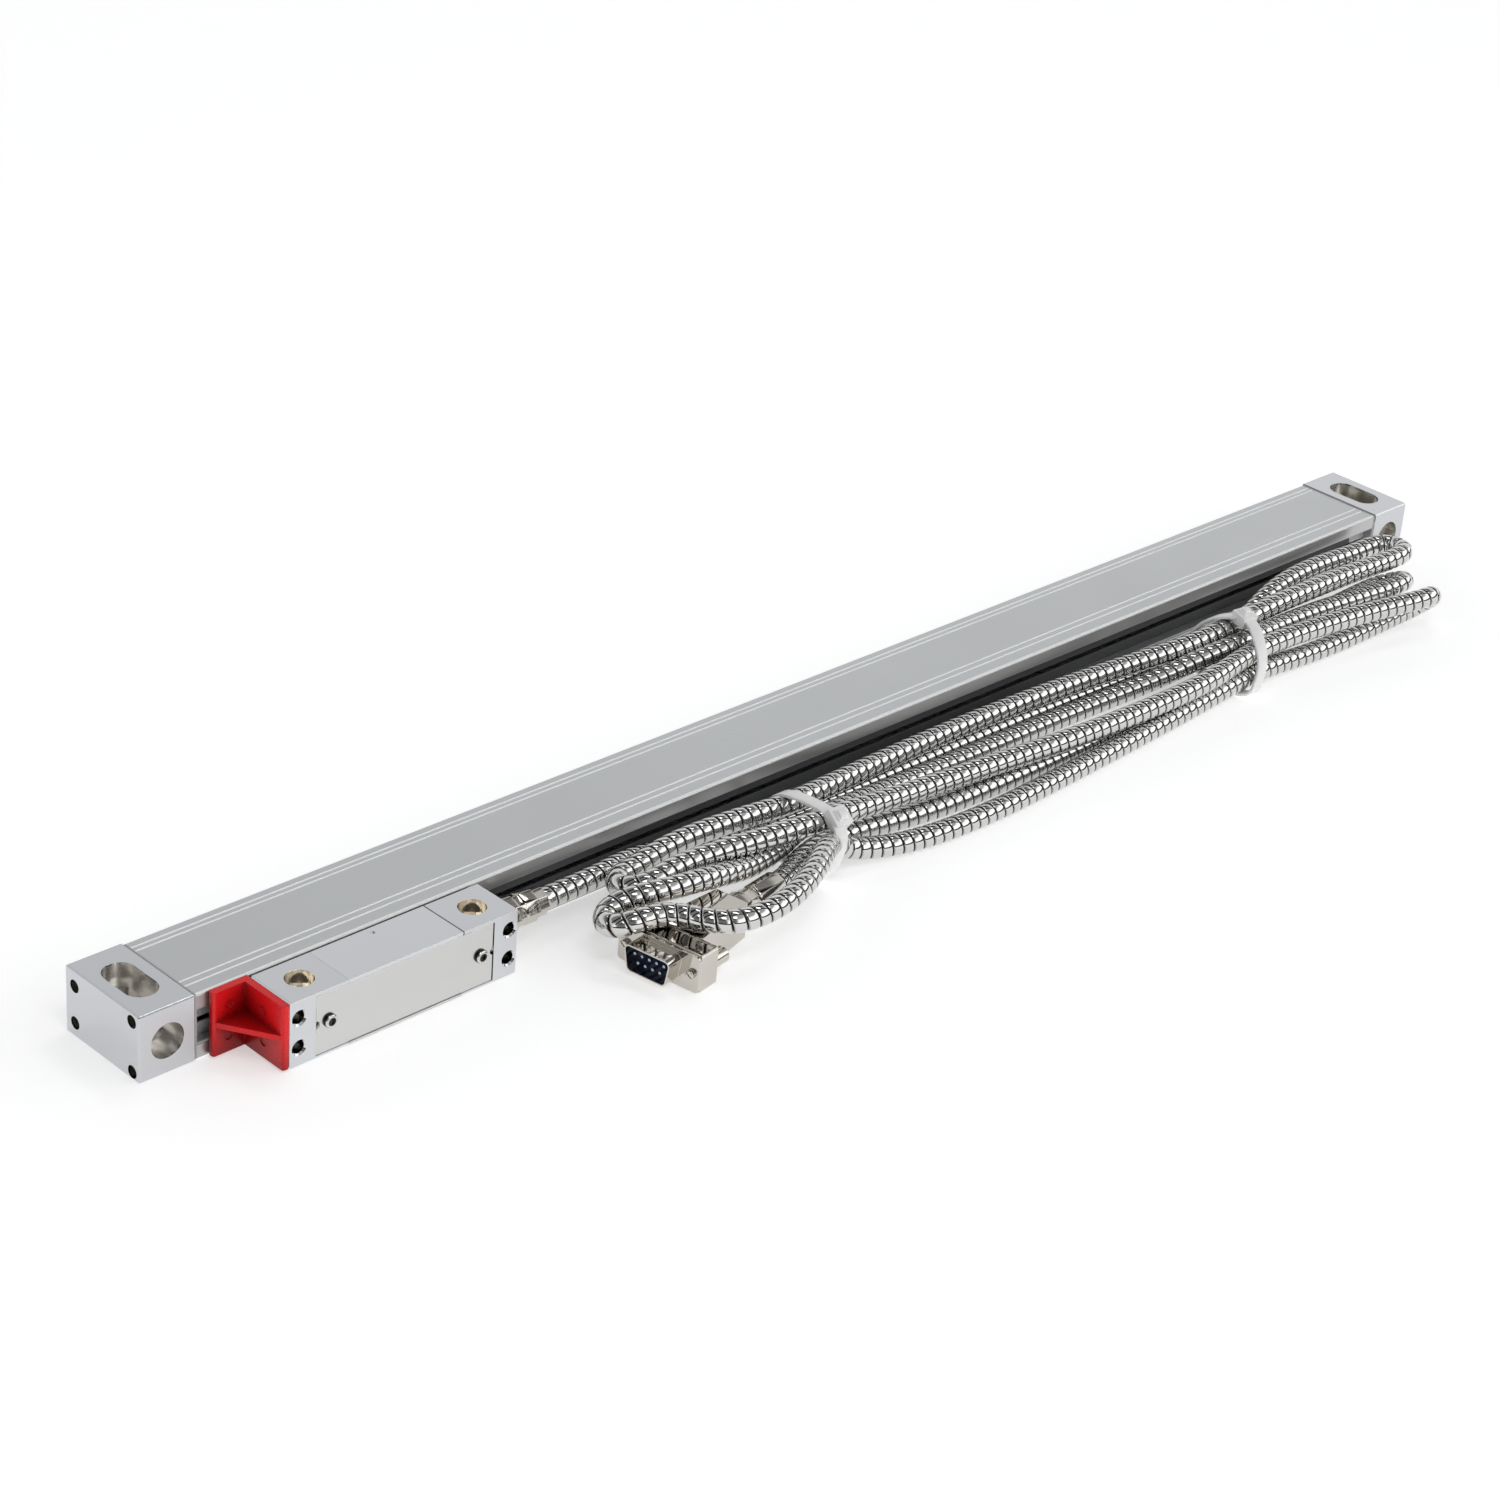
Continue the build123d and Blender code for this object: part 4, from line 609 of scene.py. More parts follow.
# --------------------------------------------------------------- inside pieces
# The head reaches the carriage through a blade and a rod of spring steel; the carriage
# runs on ball bearings on steel pins. The boards are green glass-fibre laminate and
# the lamp is a clear moulding.
dress(
    screw_metal, "coupling_block",
    "face_bearing_1", "face_bearing_2", "face_bearing_3", "edge_bearing_1", "edge_bearing_2",
)
spring_steel = new_metal(
    "spring_steel", (0.52, 0.52, 0.53),
    stretch=(60, 1800, 1800), rough=(0.22, 0.34), depth=0.08, shade=0.2, edge=0.0002,
)
dress(spring_steel, "coupling_blade", "coupling_rod", "bearing_pins")
board = new_metal(
    "board_green", (0.025, 0.17, 0.075), metallic=0,
    stretch=(600, 600, 600), rough=(0.28, 0.42), depth=0.1, shade=0.3, edge=0.0002,
)
dress(board, "head_board", "detector_board")
lamp = new_metal(
    "lamp_clear", (0.62, 0.63, 0.66), metallic=0,
    stretch=(300, 300, 300), rough=(0.08, 0.16), depth=0.05, shade=0.1, edge=0.0003,
)
dress(lamp, "lamp_module")

# ------------------------------------------------------------ shipping bracket
# A red plastic moulding stands between the left end block and the head and holds the
# head at the end of its travel until the scale is fitted.
bracket = new_metal(
    "bracket_red", (0.82, 0.0085, 0.012), metallic=0, highlight_colour=(0.85, 0.02, 0.024),
    stretch=(420, 420, 420), rough=(0.22, 0.32), depth=0.06, shade=0.12, edge=0.0004,
)
bracket_tree = bracket.node_tree
bracket_tree.nodes["Principled BSDF"].inputs["Specular IOR Level"].default_value = 0.3
# Painted shade: an ambient occlusion mask lays a dark red over the moulding's corners and hollows.
corner = add_node(bracket_tree, "ShaderNodeAmbientOcclusion", samples=8)
corner.inputs["Distance"].default_value = 0.014
corner_shade = add_node(bracket_tree, "ShaderNodeMapRange")
corner_shade.inputs["From Min"].default_value = 0.35
corner_shade.inputs["From Max"].default_value = 0.95
corner_shade.inputs["To Min"].default_value = 1
corner_shade.inputs["To Max"].default_value = 0
bracket_tree.links.new(corner.outputs["AO"], corner_shade.inputs["Value"])
tint(bracket, corner_shade.outputs["Result"], (0.24, 0.002, 0.003))
dress(bracket, "shipping_bracket")

# ----------------------------------------------------------------- cable gland
# The cable leaves the head through a turned brass gland, nickel plated; its nut
# has eight flats, and a collar and a thin neck hold the hose.
nickel = new_metal(
    "nickel", (0.62, 0.59, 0.54),
    stretch=(450, 450, 450), rough=(0.06, 0.13), depth=0.03, shade=0.2, edge=0.00025,
)
TURNED_EDGE = 0.00018
GLAND_AXIS_Y = -0.0257
GLAND_AXIS_Z = 0.0124
GLAND_STEPS = (
    (-0.1726, 0.00400), (-0.1724, 0.00585), (-0.1650, 0.00585), (-0.1646, 0.00520),
    (-0.1622, 0.00520), (-0.1618, 0.00545), (-0.1571, 0.00545), (-0.1567, 0.00475),
    (-0.1528, 0.00470), (-0.1525, 0.00400),
)


EDGE_ANGLE = math.radians(28)


def round_over(made, width):
    # Breaks the sharp edges of a finished piece.
    bpy.context.view_layer.objects.active = made
    worn_edge = made.modifiers.new("edge", "BEVEL")
    worn_edge.width = width
    worn_edge.segments = 2
    worn_edge.angle_limit = EDGE_ANGLE
    bpy.ops.object.modifier_apply(modifier=worn_edge.name)


def turned_piece(name, sides, steps, place):
    # A bar with flats, drawn out of a disc in steps of place along the axis and radius.
    # The place function turns each point to where the piece sits.
    bpy.ops.object.select_all(action="DESELECT")
    bpy.ops.mesh.primitive_circle_add(vertices=sides, radius=1, fill_type="NGON")
    made = bpy.context.object
    made.name = name
    bpy.ops.object.mode_set(mode="EDIT")
    bpy.ops.mesh.select_all(action="SELECT")
    start, radius = steps[0]
    bpy.ops.transform.resize(value=(radius, radius, 1))
    for (along, wide), (last, before) in zip(steps[1:], steps[:-1]):
        bpy.ops.mesh.extrude_region_move(TRANSFORM_OT_translate={"value": (0, 0, along - last)})
        grow = wide / before
        bpy.ops.transform.resize(value=(grow, grow, 1), center_override=(0, 0, 0))
    bpy.ops.mesh.select_all(action="SELECT")
    bpy.ops.mesh.normals_make_consistent(inside=False)
    bpy.ops.object.mode_set(mode="OBJECT")
    for vertex in made.data.vertices:
        x, y, z = vertex.co
        vertex.co = place(z + start, x, y)
    round_over(made, TURNED_EDGE)
    return made


WELD_REACH = 0.000002
SMOOTH_ANGLE = math.radians(30)


def close_up(made, material, body, slot, *replaced):
    # Every new piece ends the same way: outward faces, its material and its body. The slot is not
    # used.
    bpy.ops.object.select_all(action="DESELECT")
    made.select_set(True)
    bpy.context.view_layer.objects.active = made
    bpy.ops.object.mode_set(mode="EDIT")
    bpy.ops.mesh.select_all(action="SELECT")
    bpy.ops.mesh.remove_doubles(threshold=WELD_REACH)
    bpy.ops.mesh.normals_make_consistent(inside=False)
    bpy.ops.object.mode_set(mode="OBJECT")
    bpy.ops.object.shade_smooth_by_angle(angle=SMOOTH_ANGLE)
    made.data.materials.clear()
    made.data.materials.append(material)
    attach(made, body)
    if replaced:
        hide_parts(*replaced)


gland = turned_piece(
    "gland_nut", 8, GLAND_STEPS, lambda along, x, y: (along, GLAND_AXIS_Y + x, GLAND_AXIS_Z + y)
)
close_up(gland, nickel, "reader_head", "nickel", "cable_gland")

# ------------------------------------------------------------------------ plug
# A 9-way D plug in a die-cast hood, nickel plated. Its two screws end in slotted
# tips in the flange, and an eight-sided ferrule is crimped on the hose behind.
PLUG_ORIGIN = Vector((-0.1399, -0.0653, 0))
PLUG_TURN = math.radians(9)
PLUG_AXIS_Z = 0.00625


def plug_place(along, across, up):
    # From the plug's own axes, which lie turned on the floor, to the model's.
    x = PLUG_ORIGIN.x + along * math.cos(PLUG_TURN) - across * math.sin(PLUG_TURN)
    y = PLUG_ORIGIN.y + along * math.sin(PLUG_TURN) + across * math.cos(PLUG_TURN)
    return (x, y, up)


FERRULE_STEPS = (
    (0.0358, 0.0030), (0.0360, 0.0054), (0.0416, 0.0054), (0.0419, 0.0048), (0.0450, 0.0048),
    (0.0453, 0.0045), (0.0468, 0.0045), (0.0471, 0.0048), (0.0592, 0.0048), (0.0596, 0.0040),
)
ferrule = turned_piece(
    "plug_crimp", 8, FERRULE_STEPS, lambda along, x, y: plug_place(along, x, PLUG_AXIS_Z + y)
)
close_up(ferrule, nickel, "reader_head", "nickel", "plug_ferrule")
dress(nickel, "plug_shell", "plug_hood", "near_jackscrew", "far_jackscrew")
plug_blue = new_metal(
    "plug_blue", (0.010, 0.022, 0.072), metallic=0,
    stretch=(500, 500, 500), rough=(0.12, 0.2), depth=0.04, shade=0.1, edge=0.0003,
)
dress(plug_blue, "plug_insert")
pin_gold = new_metal(
    "pin_gold", (0.36, 0.40, 0.47),
    stretch=(500, 500, 500), rough=(0.14, 0.24), depth=0.05, shade=0.1, edge=0.0002,
)
dress(pin_gold, "plug_pins")
SCREW_TIP_STEPS = (
    (0.0005, 0.0012), (0.0003, 0.0015), (-0.0011, 0.0015), (-0.0014, 0.00125), (-0.00141, 0.0001)
)
SCREW_ACROSS = 0.0125
SCREW_SLOT = (0.0011, 0.0036, 0.0005)
SCREW_SLOT_ALONG = -0.0013
SCREW_SLOT_TURN = math.radians(38)
for body, across in (("near_jackscrew_body", -SCREW_ACROSS), ("far_jackscrew_body", SCREW_ACROSS)):
    tip = turned_piece(
        body.replace("_body", "_tip"), 20, SCREW_TIP_STEPS,
        lambda along, x, y: plug_place(along, across + x, PLUG_AXIS_Z + y),
    )
    bpy.ops.object.select_all(action="DESELECT")
    bpy.ops.mesh.primitive_cube_add(size=1, location=plug_place(SCREW_SLOT_ALONG, across, PLUG_AXIS_Z))
    slot_cut = bpy.context.object
    slot_cut.scale = SCREW_SLOT
    slot_cut.rotation_euler = (SCREW_SLOT_TURN, 0, PLUG_TURN)
    bpy.ops.object.transform_apply(location=True, rotation=True, scale=True)
    cutting = tip.modifiers.new("slot", "BOOLEAN")
    cutting.operation = "DIFFERENCE"
    cutting.object = slot_cut
    bpy.context.view_layer.objects.active = tip
    bpy.ops.object.modifier_apply(modifier=cutting.name)
    bpy.data.objects.remove(slot_cut)
    close_up(tip, nickel, body, "nickel")

# A thin rim stands round the top of the hood's box.
RIM_PLACE = (0.0051, 0, 0.0126)
RIM_SIZE = (0.0078, 0.0305, 0.0005)
RIM_WALL = 0.0006
RIM_DEPTH = 0.00034
bpy.ops.object.select_all(action="DESELECT")
bpy.ops.mesh.primitive_cube_add(size=1, location=RIM_PLACE)
rim = bpy.context.object
rim.name = "hood_rim"
rim.scale = RIM_SIZE
bpy.ops.object.transform_apply(location=True, rotation=True, scale=True)
bpy.ops.object.mode_set(mode="EDIT")
bpy.ops.mesh.select_all(action="DESELECT")
bpy.ops.object.mode_set(mode="OBJECT")
for face in rim.data.polygons:
    face.select = face.normal.z > 0.9
bpy.ops.object.mode_set(mode="EDIT")
bpy.ops.mesh.inset(thickness=RIM_WALL)
bpy.ops.mesh.extrude_region_move(TRANSFORM_OT_translate={"value": (0, 0, -RIM_DEPTH)})
bpy.ops.object.mode_set(mode="OBJECT")
for vertex in rim.data.vertices:
    vertex.co = plug_place(*vertex.co)
round_over(rim, width=0.0001)
close_up(rim, nickel, "reader_head", "nickel")

# ------------------------------------------------------------------ cable ties
# Two natural nylon ties hold the hank. Each is one moulding: a thin band that runs
# slack round the six strands, and a square head that the band is pulled through.
TIE_WIDE = 0.0048
TIE_THICK = 0.0011
TIE_HEAD = (0.0068, 0.0066, 0.0046)
TIE_HEAD_STEPS = ((0.0014, 0.0007), (0.0006, 0.0010))  # how far in, how far up
NEAR_TIE_LOOP = [
    (-0.0590, -0.0265, 0.0006), (-0.0572, -0.0225, 0.0026), (-0.0556, -0.0224, 0.0070),
    (-0.0540, -0.0255, 0.0130), (-0.0533, -0.0285, 0.0176), (-0.0530, -0.0345, 0.0193),
    (-0.0526, -0.0415, 0.0198), (-0.0524, -0.0480, 0.0198), (-0.0530, -0.0538, 0.0189),
    (-0.0556, -0.0590, 0.0157), (-0.0584, -0.0604, 0.0106), (-0.0604, -0.0598, 0.0050),
    (-0.0616, -0.0553, 0.0009), (-0.0612, -0.0475, 0.0006), (-0.0602, -0.0375, 0.0006),
]
FAR_TIE_LOOP = [
    (0.1550, -0.0295, 0.0007), (0.1572, -0.0255, 0.0032), (0.1592, -0.0251, 0.0084),
    (0.1604, -0.0279, 0.0146), (0.1622, -0.0327, 0.0188), (0.1650, -0.0378, 0.0203),
    (0.1672, -0.0418, 0.0205), (0.1658, -0.0470, 0.0197), (0.1618, -0.0530, 0.0172),
    (0.1592, -0.0574, 0.0130), (0.1576, -0.0587, 0.0072), (0.1548, -0.0590, 0.0020),
    (0.1510, -0.0560, 0.0006), (0.1520, -0.0430, 0.0006),
]


def closed_line(points, per):
    # The smooth closed line whose control points these are.
    line = []
    for i, here in enumerate(points):
        back, here = Vector(points[i - 1]), Vector(here)
        ahead = Vector(points[(i + 1) % len(points)])
        for k in range(per):
            u = k / per
            line.append(
                back * (0.5 * (1 - u) ** 2) + here * (0.5 + u * (1 - u)) + ahead * (0.5 * u * u)
            )
    return line


def make_tie(name, loop, head_place, head_turn, replaced):
    # A ring is laid along the loop, made thick and joined with a stepped square head.
    line = closed_line(loop, 6)
    bpy.ops.object.select_all(action="DESELECT")
    bpy.ops.mesh.primitive_cylinder_add(
        vertices=len(line), radius=0.02, depth=TIE_WIDE, end_fill_type="NOTHING"
    )
    band = bpy.context.object
    band.name = name
    for i, here in enumerate(line):
        ahead = (line[(i + 1) % len(line)] - line[i - 1]).normalized()
        side = Vector((1, 0, 0))
        side = (side - ahead * side.dot(ahead)).normalized()
        band.data.vertices[2 * i].co = here - side * (0.5 * TIE_WIDE)
        band.data.vertices[2 * i + 1].co = here + side * (0.5 * TIE_WIDE)
    band.location = (0, 0, 0)
    thick = band.modifiers.new("thick", "SOLIDIFY")
    thick.thickness = TIE_THICK
    thick.offset = 0
    bpy.ops.object.modifier_apply(modifier=thick.name)
    bpy.ops.mesh.primitive_cube_add(size=1, location=head_place)
    head = bpy.context.object
    head.scale = TIE_HEAD
    head.rotation_euler = head_turn
    bpy.ops.object.transform_apply(location=True, rotation=True, scale=True)
    out = Vector((0, 0, 1))
    out.rotate(Euler(head_turn))
    bpy.ops.object.mode_set(mode="EDIT")
    bpy.ops.mesh.select_all(action="DESELECT")
    bpy.ops.object.mode_set(mode="OBJECT")
    for face in head.data.polygons:
        face.select = face.normal.dot(out) > 0.9
    bpy.ops.object.mode_set(mode="EDIT")
    for inward, outward in TIE_HEAD_STEPS:
        bpy.ops.mesh.inset(thickness=inward)
        bpy.ops.mesh.extrude_region_move(TRANSFORM_OT_translate={"value": out * outward})
    bpy.ops.object.mode_set(mode="OBJECT")
    round_over(head, width=0.0008)
    round_over(band, width=0.00025)
    bpy.ops.object.select_all(action="DESELECT")
    head.select_set(True)
    band.select_set(True)
    bpy.context.view_layer.objects.active = band
    bpy.ops.object.join()
    close_up(band, nylon, "reader_head", "tie_nylon", replaced)
    return band


nylon = new_metal(
    "tie_nylon", (0.93, 0.932, 0.92), metallic=0,
    stretch=(250, 250, 250), rough=(0.34, 0.46), depth=0.06, shade=0.06, edge=0.0003,
)
nylon_shader = nylon.node_tree.nodes["Principled BSDF"]
nylon_shader.inputs["Subsurface Weight"].default_value = 0.5
nylon_shader.inputs["Subsurface Radius"].default_value = (0.003, 0.003, 0.003)
ties = [
    make_tie(
        "near_tie", NEAR_TIE_LOOP, head_place=(-0.0524, -0.0534, 0.0190),
        head_turn=(math.radians(34), 0, math.radians(-6)), replaced="left_cable_tie",
    ),
    make_tie(
        "far_tie", FAR_TIE_LOOP, head_place=(0.1670, -0.0414, 0.0203),
        head_turn=(math.radians(8), 0, math.radians(-10)), replaced="right_cable_tie",
    ),
]

# -------------------------------------------------------------- armoured cable
# The cable runs inside an interlocked stainless strip wound to a 7.5 mm hose. It is
# folded to a hank, tied twice, and ends in the plug, all seen in the photograph.
ARMOUR_PITCH = 0.0040
ARMOUR_AROUND = 18
LINE_STEP = 0.0005
SAME_PLACE = 0.0001
cable_route = [
    # out of the gland and down beside the housing
    (-0.1525, -0.0257, 0.0124), (-0.1305, -0.0257, 0.0124), (-0.1200, -0.0235, 0.0118),
    (-0.1100, -0.0223, 0.0108), (-0.0980, -0.0223, 0.0090), (-0.0860, -0.0229, 0.0072),
    (-0.0730, -0.0247, 0.0058),
    # along the floor next to the housing
    (-0.0540, -0.0271, 0.0050), (-0.0250, -0.0255, 0.0041), (0.0050, -0.0247, 0.0039),
    (0.0450, -0.0247, 0.0039), (0.0900, -0.0251, 0.0039), (0.1300, -0.0275, 0.0044),
    (0.1610, -0.0305, 0.0062),
    # up through the far tie, the top far fold and back
    (0.1750, -0.0303, 0.0084), (0.1870, -0.0295, 0.0116), (0.1990, -0.0271, 0.0142),
    (0.2120, -0.0251, 0.0156), (0.2260, -0.0243, 0.0160), (0.2390, -0.0245, 0.0158),
    (0.2490, -0.0251, 0.0156), (0.2575, -0.0254, 0.0156), (0.2656, -0.0257, 0.0159),
    (0.2698, -0.0296, 0.0164), (0.2698, -0.0354, 0.0170), (0.2656, -0.0393, 0.0174),
    (0.2570, -0.0395, 0.0174), (0.2470, -0.0389, 0.0174), (0.2350, -0.0381, 0.0174),
    (0.2220, -0.0377, 0.0174), (0.2080, -0.0375, 0.0174), (0.1950, -0.0373, 0.0172),
    (0.1790, -0.0371, 0.0166),
    # back along the top of the hank
    (0.1610, -0.0361, 0.0146), (0.1410, -0.0345, 0.0131), (0.1150, -0.0289, 0.0113),
    (0.0800, -0.0257, 0.0109), (0.0400, -0.0245, 0.0109), (0.0050, -0.0253, 0.0111),
    (-0.0250, -0.0281, 0.0124),
    # through the near tie, the near loop and back
    (-0.0540, -0.0315, 0.0144), (-0.0690, -0.0303, 0.0152), (-0.0830, -0.0291, 0.0154),
    (-0.0950, -0.0287, 0.0155), (-0.1040, -0.0289, 0.0152), (-0.1115, -0.0297, 0.0148),
    (-0.1190, -0.0309, 0.0142), (-0.1260, -0.0314, 0.0140), (-0.1304, -0.0350, 0.0143),
    (-0.1304, -0.0400, 0.0152), (-0.1262, -0.0431, 0.0161), (-0.1206, -0.0433, 0.0168),
    (-0.1155, -0.0427, 0.0174), (-0.1070, -0.0425, 0.0174), (-0.0970, -0.0435, 0.0174),
    (-0.0835, -0.0455, 0.0174), (-0.0680, -0.0473, 0.0170),
    # out again along the top
    (-0.0540, -0.0479, 0.0162), (-0.0410, -0.0473, 0.0150), (-0.0230, -0.0473, 0.0130),
    (-0.0030, -0.0483, 0.0119), (0.0250, -0.0505, 0.0115), (0.0600, -0.0541, 0.0114),
    (0.0970, -0.0559, 0.0114), (0.1300, -0.0557, 0.0116),
    # through the far tie, the longest far fold and down
    (0.1510, -0.0527, 0.0124), (0.1670, -0.0513, 0.0130), (0.1850, -0.0527, 0.0134),
    (0.2040, -0.0551, 0.0134), (0.2200, -0.0575, 0.0134), (0.2330, -0.0603, 0.0136),
    (0.2425, -0.0629, 0.0138), (0.2512, -0.0637, 0.0138), (0.2552, -0.0609, 0.0109),
    (0.2552, -0.0571, 0.0068), (0.2512, -0.0543, 0.0040), (0.2420, -0.0543, 0.0039),
    (0.2270, -0.0549, 0.0039), (0.2080, -0.0551, 0.0039), (0.1900, -0.0543, 0.0039),
    (0.1750, -0.0533, 0.0046),
    # back along the floor, outermost
    (0.1610, -0.0533, 0.0051), (0.1470, -0.0539, 0.0046), (0.1300, -0.0551, 0.0039),
    (0.0950, -0.0581, 0.0039), (0.0550, -0.0609, 0.0039), (0.0170, -0.0633, 0.0039),
    (-0.0110, -0.0625, 0.0039), (-0.0290, -0.0597, 0.0042), (-0.0410, -0.0563, 0.0054),
    # out of the near tie, over the plug's hood, the near loop and back
    (-0.0485, -0.0541, 0.0074), (-0.0535, -0.0545, 0.0108), (-0.0590, -0.0573, 0.0138),
    (-0.0660, -0.0617, 0.0160), (-0.0750, -0.0675, 0.0168), (-0.0850, -0.0729, 0.0170),
    (-0.0970, -0.0771, 0.0170), (-0.1095, -0.0785, 0.0169), (-0.1195, -0.0765, 0.0168),
    (-0.1256, -0.0705, 0.0167), (-0.1290, -0.0639, 0.0166), (-0.1340, -0.0593, 0.0166),
    (-0.1416, -0.0573, 0.0163), (-0.1468, -0.0539, 0.0144), (-0.1475, -0.0493, 0.0132),
    (-0.1446, -0.0455, 0.0136), (-0.1396, -0.0447, 0.0152), (-0.1342, -0.0469, 0.0168),
    (-0.1280, -0.0495, 0.0176), (-0.1200, -0.0515, 0.0175), (-0.1110, -0.0517, 0.0166),
    (-0.0980, -0.0507, 0.0138), (-0.0850, -0.0483, 0.0106), (-0.0710, -0.0449, 0.0094),
    # out again low in the middle
    (-0.0550, -0.0391, 0.0096), (-0.0390, -0.0365, 0.0084), (-0.0200, -0.0341, 0.0062),
    (0.0050, -0.0329, 0.0044), (0.0450, -0.0327, 0.0039), (0.0800, -0.0328, 0.0039),
    (0.1070, -0.0345, 0.0046), (0.1290, -0.0383, 0.0074), (0.1450, -0.0415, 0.0110),
    # through the far tie, the middle far fold and down
    (0.1610, -0.0435, 0.0123), (0.1750, -0.0433, 0.0120), (0.1890, -0.0425, 0.0116),
    (0.2050, -0.0425, 0.0112), (0.2200, -0.0437, 0.0110), (0.2340, -0.0451, 0.0108),
    (0.2480, -0.0465, 0.0108), (0.2579, -0.0467, 0.0108), (0.2621, -0.0431, 0.0088),
    (0.2621, -0.0379, 0.0059), (0.2579, -0.0343, 0.0040), (0.2480, -0.0343, 0.0039),
    (0.2330, -0.0351, 0.0039), (0.2150, -0.0369, 0.0039), (0.1920, -0.0419, 0.0039),
    # back along the floor
    (0.1750, -0.0437, 0.0044), (0.1610, -0.0449, 0.0049), (0.1470, -0.0463, 0.0045),
    (0.1350, -0.0473, 0.0039), (0.1050, -0.0495, 0.0039), (0.0700, -0.0511, 0.0039),
    (0.0350, -0.0515, 0.0039), (0.0050, -0.0509, 0.0039), (-0.0150, -0.0485, 0.0039),
    (-0.0330, -0.0453, 0.0046),
    # out of the near tie and round to the plug
    (-0.0490, -0.0449, 0.0052), (-0.0630, -0.0485, 0.0056), (-0.0725, -0.0535, 0.0062),
    (-0.0806, -0.0559, 0.0063),
]
cable_curve = bpy.data.curves.new("cable_line", "CURVE")
cable_curve.dimensions = "3D"
cable_curve.resolution_u = 12
cable_spline = cable_curve.splines.new("NURBS")
cable_spline.points.add(len(cable_route) - 1)
for point, place in zip(cable_spline.points, cable_route):
    point.co = (*place, 1)
cable_spline.order_u = 3
cable_spline.use_endpoint_u = True
cable_line = bpy.data.objects.new("cable_line", cable_curve)
scene.collection.objects.link(cable_line)
line_mesh = bpy.data.meshes.new_from_object(cable_line)
cable_path = [line_mesh.vertices[0].co.copy()]
for vertex in line_mesh.vertices:
    if (vertex.co - cable_path[-1]).length > SAME_PLACE:
        cable_path.append(vertex.co.copy())
bpy.data.objects.remove(cable_line)
bpy.data.meshes.remove(line_mesh)


def frames_along(path, spacing):
    # Evenly spaced points, tangents and side vectors that turn no more than the line does.
    line = np.array(path)
    steps = np.linalg.norm(np.diff(line, axis=0), axis=1)
    along = np.concatenate([[0], np.cumsum(steps)])
    places = np.arange(0, along[-1], spacing)
    places = np.append(places, along[-1])
    points = np.stack([np.interp(places, along, line[:, k]) for k in range(3)], 1)
    tangents = np.gradient(points, axis=0)
    tangents /= np.linalg.norm(tangents, axis=1)[:, None]
    side = np.cross(tangents[0], (0, 0, 1))
    side /= np.linalg.norm(side)
    sides = [side]
    for tangent in tangents[1:]:
        side = sides[-1] - tangent * np.dot(tangent, sides[-1])
        sides.append(side / np.linalg.norm(side))
    return places, points, tangents, np.array(sides)


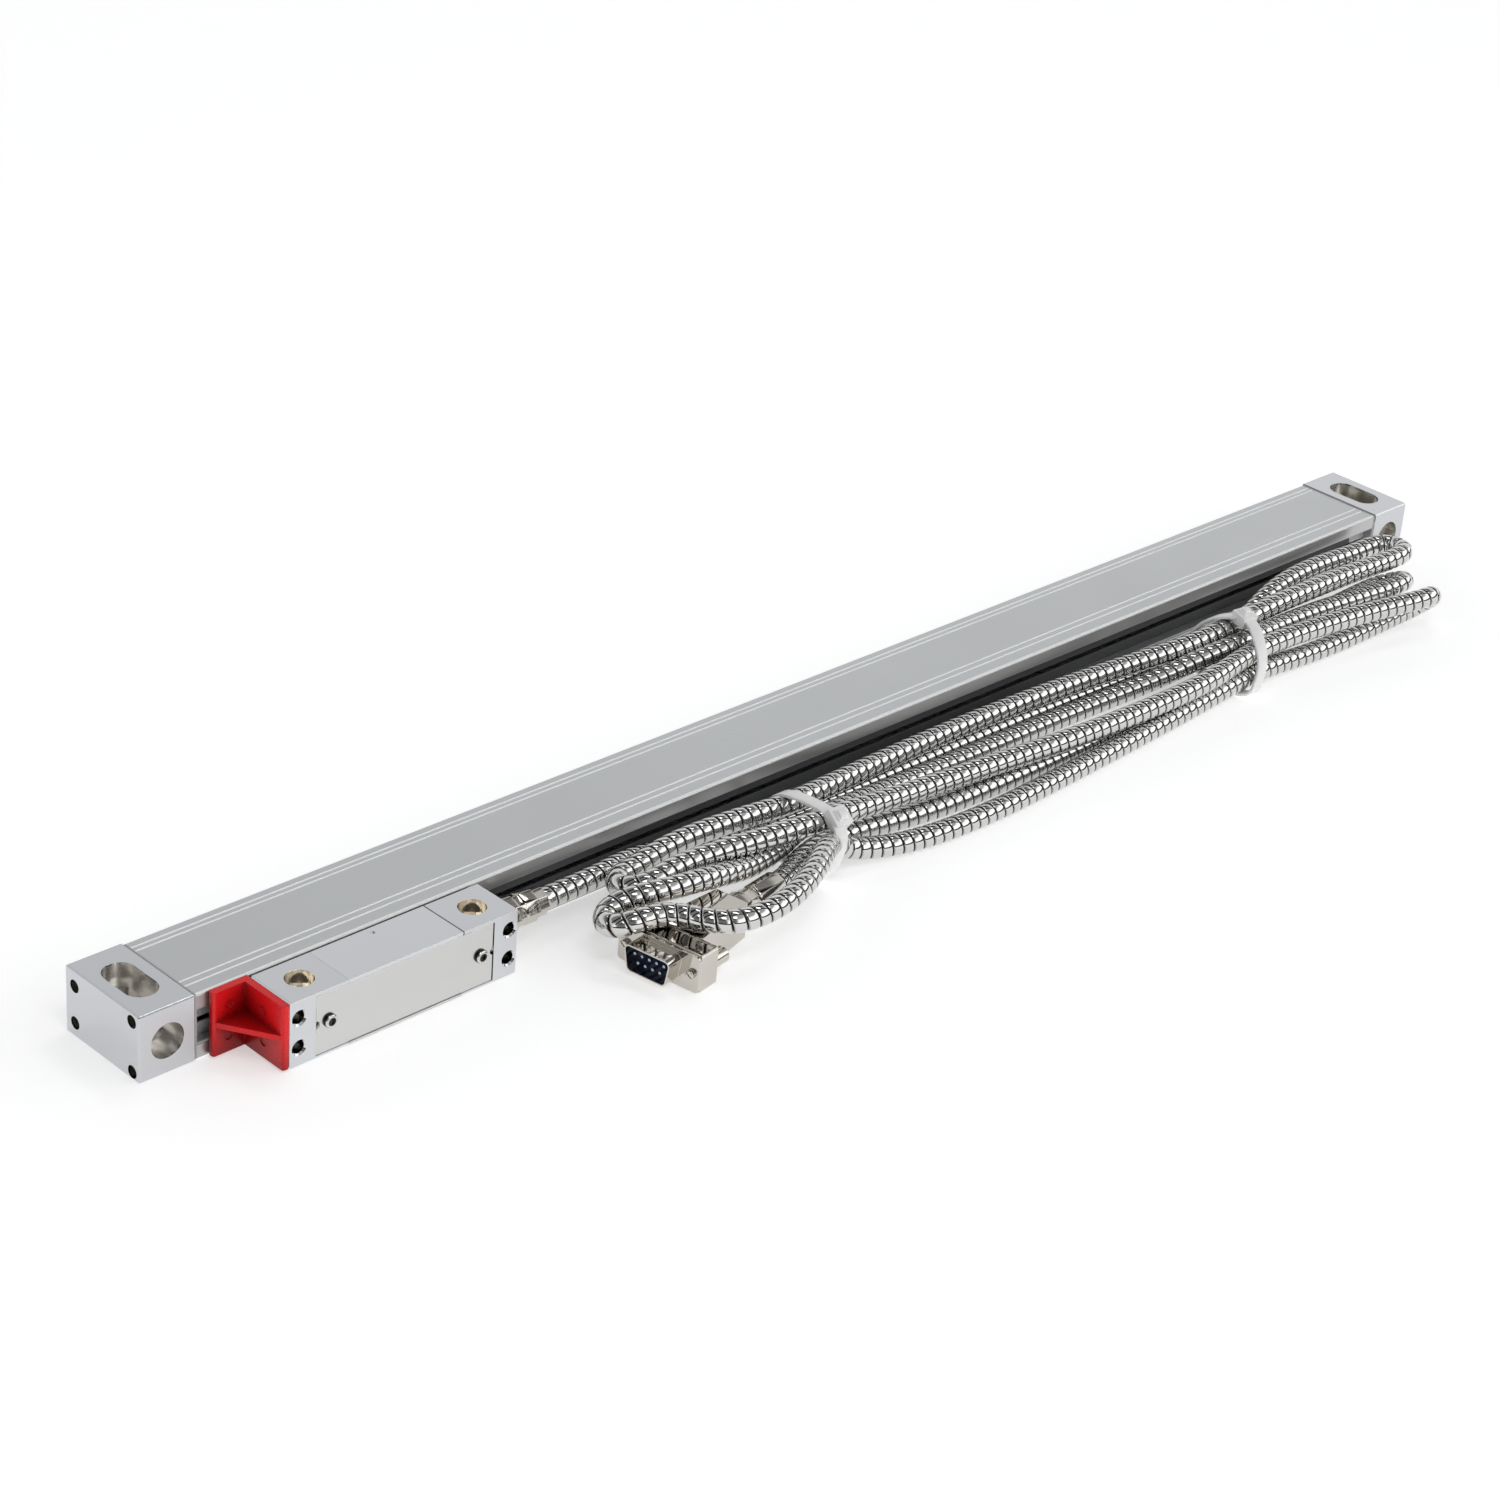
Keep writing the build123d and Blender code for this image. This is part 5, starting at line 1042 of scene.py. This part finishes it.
def armour_mesh(path, profile, around, pitch):
    # The hose's surface follows its own helix: each row of the grid runs along the strip.
    # After one turn a row meets the row one profile further on.
    places, points, tangents, sides = frames_along(path, LINE_STEP)
    ups = np.cross(tangents, sides)
    per = len(profile)
    total = places[-1]
    rows = int(math.ceil(total / pitch)) * per + per
    row = np.arange(-per, rows)[:, None]
    column = np.arange(around)[None, :]
    share = np.array([p[0] for p in profile])[row % per] + row // per
    height = np.clip((share + column / around) * pitch, 0, total)
    radius = np.array([p[1] for p in profile])[row % per] + 0 * column
    angle = 2 * math.pi * column / around + 0 * row
    centre = np.stack([np.interp(height, places, points[:, k]) for k in range(3)], -1)
    side = np.stack([np.interp(height, places, sides[:, k]) for k in range(3)], -1)
    up = np.stack([np.interp(height, places, ups[:, k]) for k in range(3)], -1)
    outward = np.cos(angle)[..., None] * side + np.sin(angle)[..., None] * up
    skin = centre + radius[..., None] * outward
    count = skin.shape[0]
    faces = []
    for i in range(count - 1):
        for j in range(around):
            last = j == around - 1
            ia = i + per if last else i
            ja = 0 if last else j + 1
            if ia + 1 >= count:
                continue
            low = min(height[i, j], height[ia, ja])
            high = max(height[i + 1, j], height[ia + 1, ja])
            if high <= 0 or low >= total:
                continue
            here, beside = i * around + j, ia * around + ja
            faces.append((here, here + around, beside + around, beside))
    mesh = bpy.data.meshes.new("cable")
    mesh.from_pydata(skin.reshape(-1, 3).tolist(), [], faces)
    seam = mesh.attributes.new("seam", "FLOAT", "POINT")
    dark = (np.array([p[2] for p in profile])[row % per] + 0 * column).reshape(-1)
    seam.data.foreach_set("value", dark.astype(np.float32))
    mesh.update()
    return mesh


# Share of the pitch, radius in metres, and how far into the joint between two turns, which sets how
# much painted shade it gets.
ARMOUR_PROFILE = [
    (0.000, 0.00315, 1.0),
    (0.045, 0.00340, 1.0),
    (0.085, 0.00362, 0.3),
    (0.140, 0.00373, 0.0),
    (0.500, 0.00376, 0.0),
    (0.800, 0.00374, 0.0),
    (0.895, 0.00364, 0.3),
    (0.950, 0.00340, 1.0),
]
cable_mesh = armour_mesh(cable_path, ARMOUR_PROFILE, ARMOUR_AROUND, ARMOUR_PITCH)
cable = bpy.data.objects.new("armoured_cable", cable_mesh)
scene.collection.objects.link(cable)
cable_build = bmesh.new()
cable_build.from_mesh(cable_mesh)
loose = [vertex for vertex in cable_build.verts if not vertex.link_faces]
bmesh.ops.delete(cable_build, geom=loose, context="VERTS")
bmesh.ops.recalc_face_normals(cable_build, faces=cable_build.faces)
cable_build.to_mesh(cable_mesh)
cable_build.free()
for polygon in cable_mesh.polygons:
    polygon.use_smooth = True
armour = new_metal(
    "cable_armour", (0.585, 0.582, 0.57),
    stretch=(500, 500, 500), rough=(0.03, 0.06), depth=0.008, shade=0.1, edge=0.0002,
)
armour_tree = armour.node_tree
# The turns are round in the mesh already, so the edge group is taken out.
for extra in [n for n in armour_tree.nodes if n.type == "GROUP" and n.node_tree == edge_group]:
    armour_tree.nodes.remove(extra)
seam_shade_value = add_node(armour_tree, "ShaderNodeAttribute", attribute_name="seam")
# The joints between the turns are tinted nearly black: painted shade in the creases.
tint(armour, seam_shade_value.outputs["Fac"], (0.018, 0.017, 0.016))
cable_mesh.materials.append(armour)
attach(cable, "reader_head")
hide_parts("cable_lead", "cable_hank", "cable_tail")
